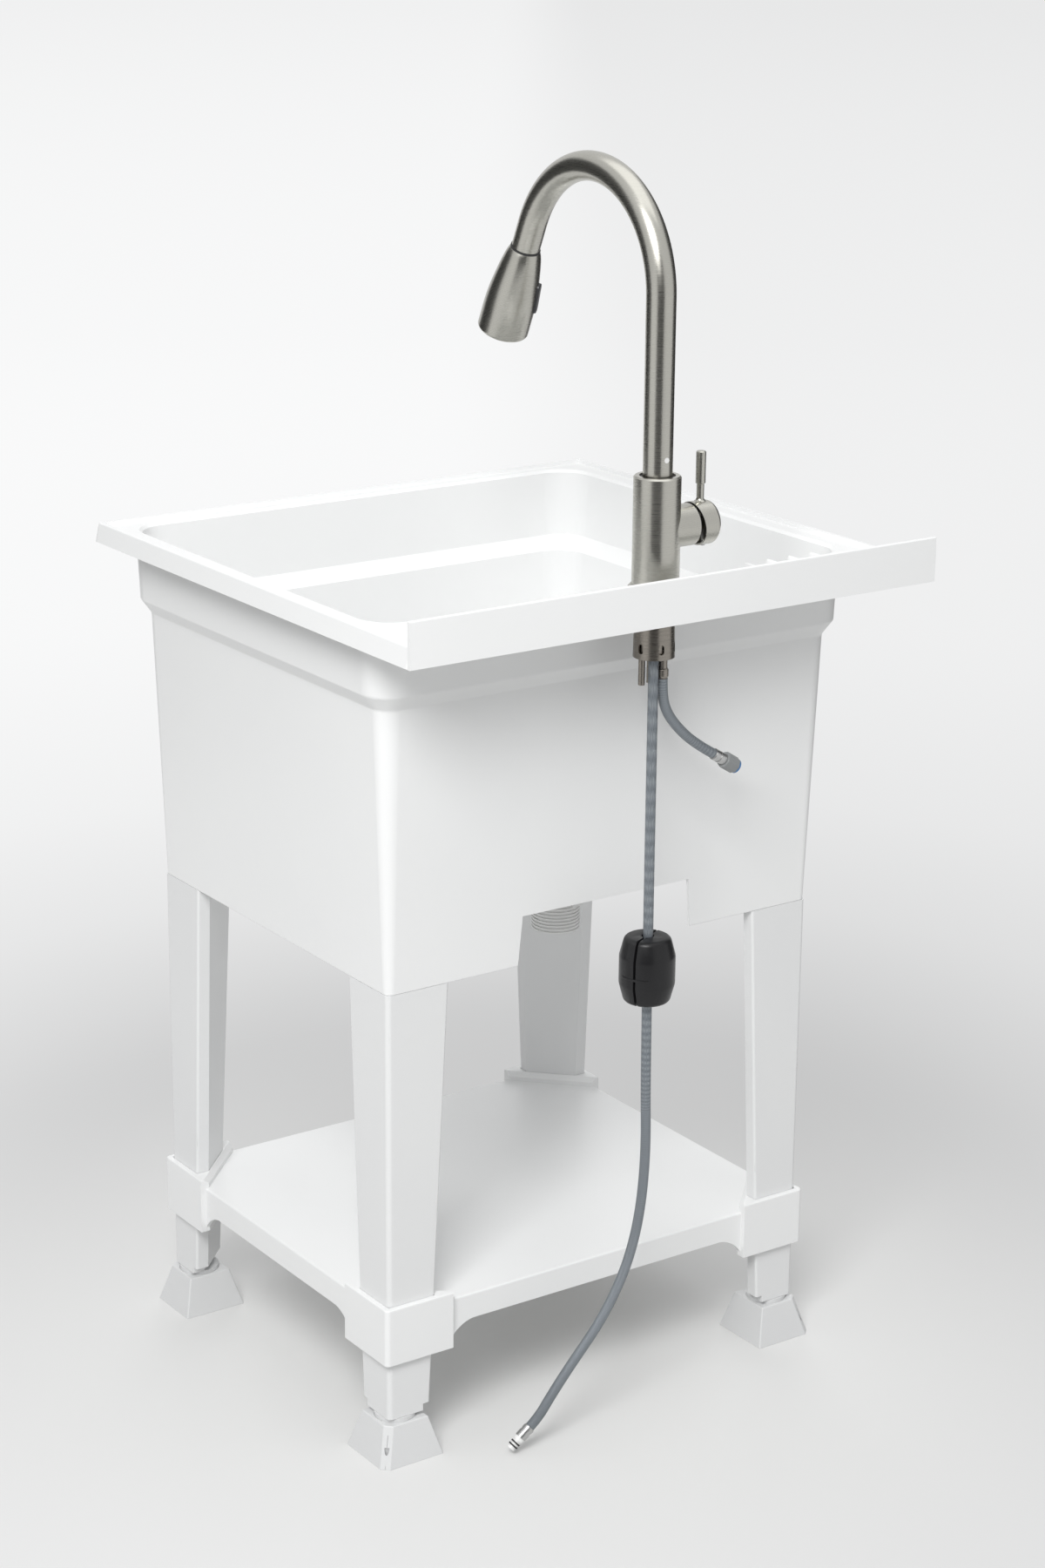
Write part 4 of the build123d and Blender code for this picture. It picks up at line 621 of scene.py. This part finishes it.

# Painted shade: rays that see the floor get a plain colour from this ramp. It is darkest round a point behind
# the sink, lighter further out and a little darker far off. Only within about 0.9 m of the middle does the
# lit floor show, with its real cast shadow.
pool_middle, pool_reach, pool_tint = (-0.257, -0.370, 0), 20, (1, 1.003, 1.006)
painted_shade_tones = ((0.0, 0.60), (0.45, 0.60), (0.7, 0.70), (1.0, 0.80), (1.5, 0.88), (2.6, 0.95), (6.0, 0.95),
              (pool_reach, 0.86))
painted_shade_ramp = tree.nodes.new("ShaderNodeValToRGB")
painted_shade_ramp.color_ramp.interpolation = "B_SPLINE"
steps = painted_shade_ramp.color_ramp.elements
for distance, _ in painted_shade_tones[1:-1]:
    steps.new(distance / pool_reach)
for step, (_, tone) in zip(steps, painted_shade_tones):
    step.color = (*(tone * share for share in pool_tint), 1)
join(ramp_over(tree, measure(tree, "DISTANCE", place, pool_middle), 0, pool_reach, smooth=False),
     painted_shade_ramp.inputs["Fac"])
plain = tree.nodes.new("ShaderNodeEmission")
join(painted_shade_ramp.outputs["Color"], plain.inputs["Color"])
# Painted shade: the floor's plain colour dims to 0.92 of its tone towards the right of the view.
to_the_right = (-sin(azimuth), cos(azimuth), 0)
dim_from, dim_to, painted_dimming = -0.25, 0.5, 0.92
join(ramp_over(tree, measure(tree, "DOT_PRODUCT", place, to_the_right), dim_from, dim_to, 1, painted_dimming),
     plain.inputs["Strength"])

fade_from, fade_to = 0.1, 0.9
fade = ramp_over(tree, measure(tree, "LENGTH", place), fade_from, fade_to)
mixed = tree.nodes.new("ShaderNodeMixShader")
join(reckon(tree, "MULTIPLY", fade, seen), mixed.inputs["Fac"])
join(lit.outputs["BSDF"], mixed.inputs[1])
join(plain.outputs["Emission"], mixed.inputs[2])
join(mixed.outputs["Shader"], tree.nodes["Material Output"].inputs["Surface"])
floor.data.materials.append(floor_material)


lamps_aim = Vector((0, 0, 0.6))


def softbox(name, place_at, size, power, seen_in_metal=True):
    """A square area lamp that faces the sink's middle."""
    lamp = bpy.data.lights.new(name, "AREA")
    lamp.size = size
    lamp.energy = power
    holder = bpy.data.objects.new(name, lamp)
    holder.location = place_at
    holder.rotation_euler = (lamps_aim - Vector(place_at)).to_track_quat("-Z", "Y").to_euler()
    holder.visible_glossy = seen_in_metal
    scene.collection.objects.link(holder)


softbox("key_light", (2.35, 2.2, 3.2), 1.6, 124)
softbox("top_light", (-0.3, 0.1, 3.2), 2.4, 16)
softbox("low_fill", (-1.6, -2.4, 0.9), 1.6, 24, seen_in_metal=False)

screen_distance, screen_middle, screen_height = 2.2, 1.1, 2.6
screen_material = bpy.data.materials.new("dark_screen")
screen_material.use_nodes = True
screen_material.node_tree.nodes["Principled BSDF"].inputs["Base Color"].default_value = (0.02, 0.02, 0.02, 1)
for name, turn, width in (("screen_left", -52, 2.5), ("screen_front", 55, 2.0), ("screen_right", 182, 2.5)):
    bpy.ops.mesh.primitive_plane_add(
        size=1, rotation=(radians(90), 0, radians(turn + 90)),
        location=(screen_distance * cos(radians(turn)), screen_distance * sin(radians(turn)), screen_middle))
    screen = bpy.context.object
    screen.name = name
    screen.scale = (width, screen_height, 1)
    bpy.ops.object.transform_apply(location=True, rotation=True, scale=True)
    screen.data.materials.append(screen_material)
    screen.visible_camera = screen.visible_diffuse = False
    screen.visible_shadow = screen.visible_transmission = False

world = bpy.data.worlds.new("studio_air")
scene.world = world
world.use_nodes = True
tree = world.node_tree
join = tree.links.new
air = tree.nodes["Background"]
air.inputs["Color"].default_value = (0.485, 0.488, 0.492, 1)
backdrop = tree.nodes.new("ShaderNodeBackground")
backdrop.inputs["Color"].default_value = (0.82, 0.825, 0.83, 1)
mixed = tree.nodes.new("ShaderNodeMixShader")
join(seen_directly(tree), mixed.inputs["Fac"])
join(air.outputs["Background"], mixed.inputs[1])
join(backdrop.outputs["Background"], mixed.inputs[2])
join(mixed.outputs["Shader"], tree.nodes["World Output"].inputs["Surface"])
scene.view_settings.view_transform = "Standard"
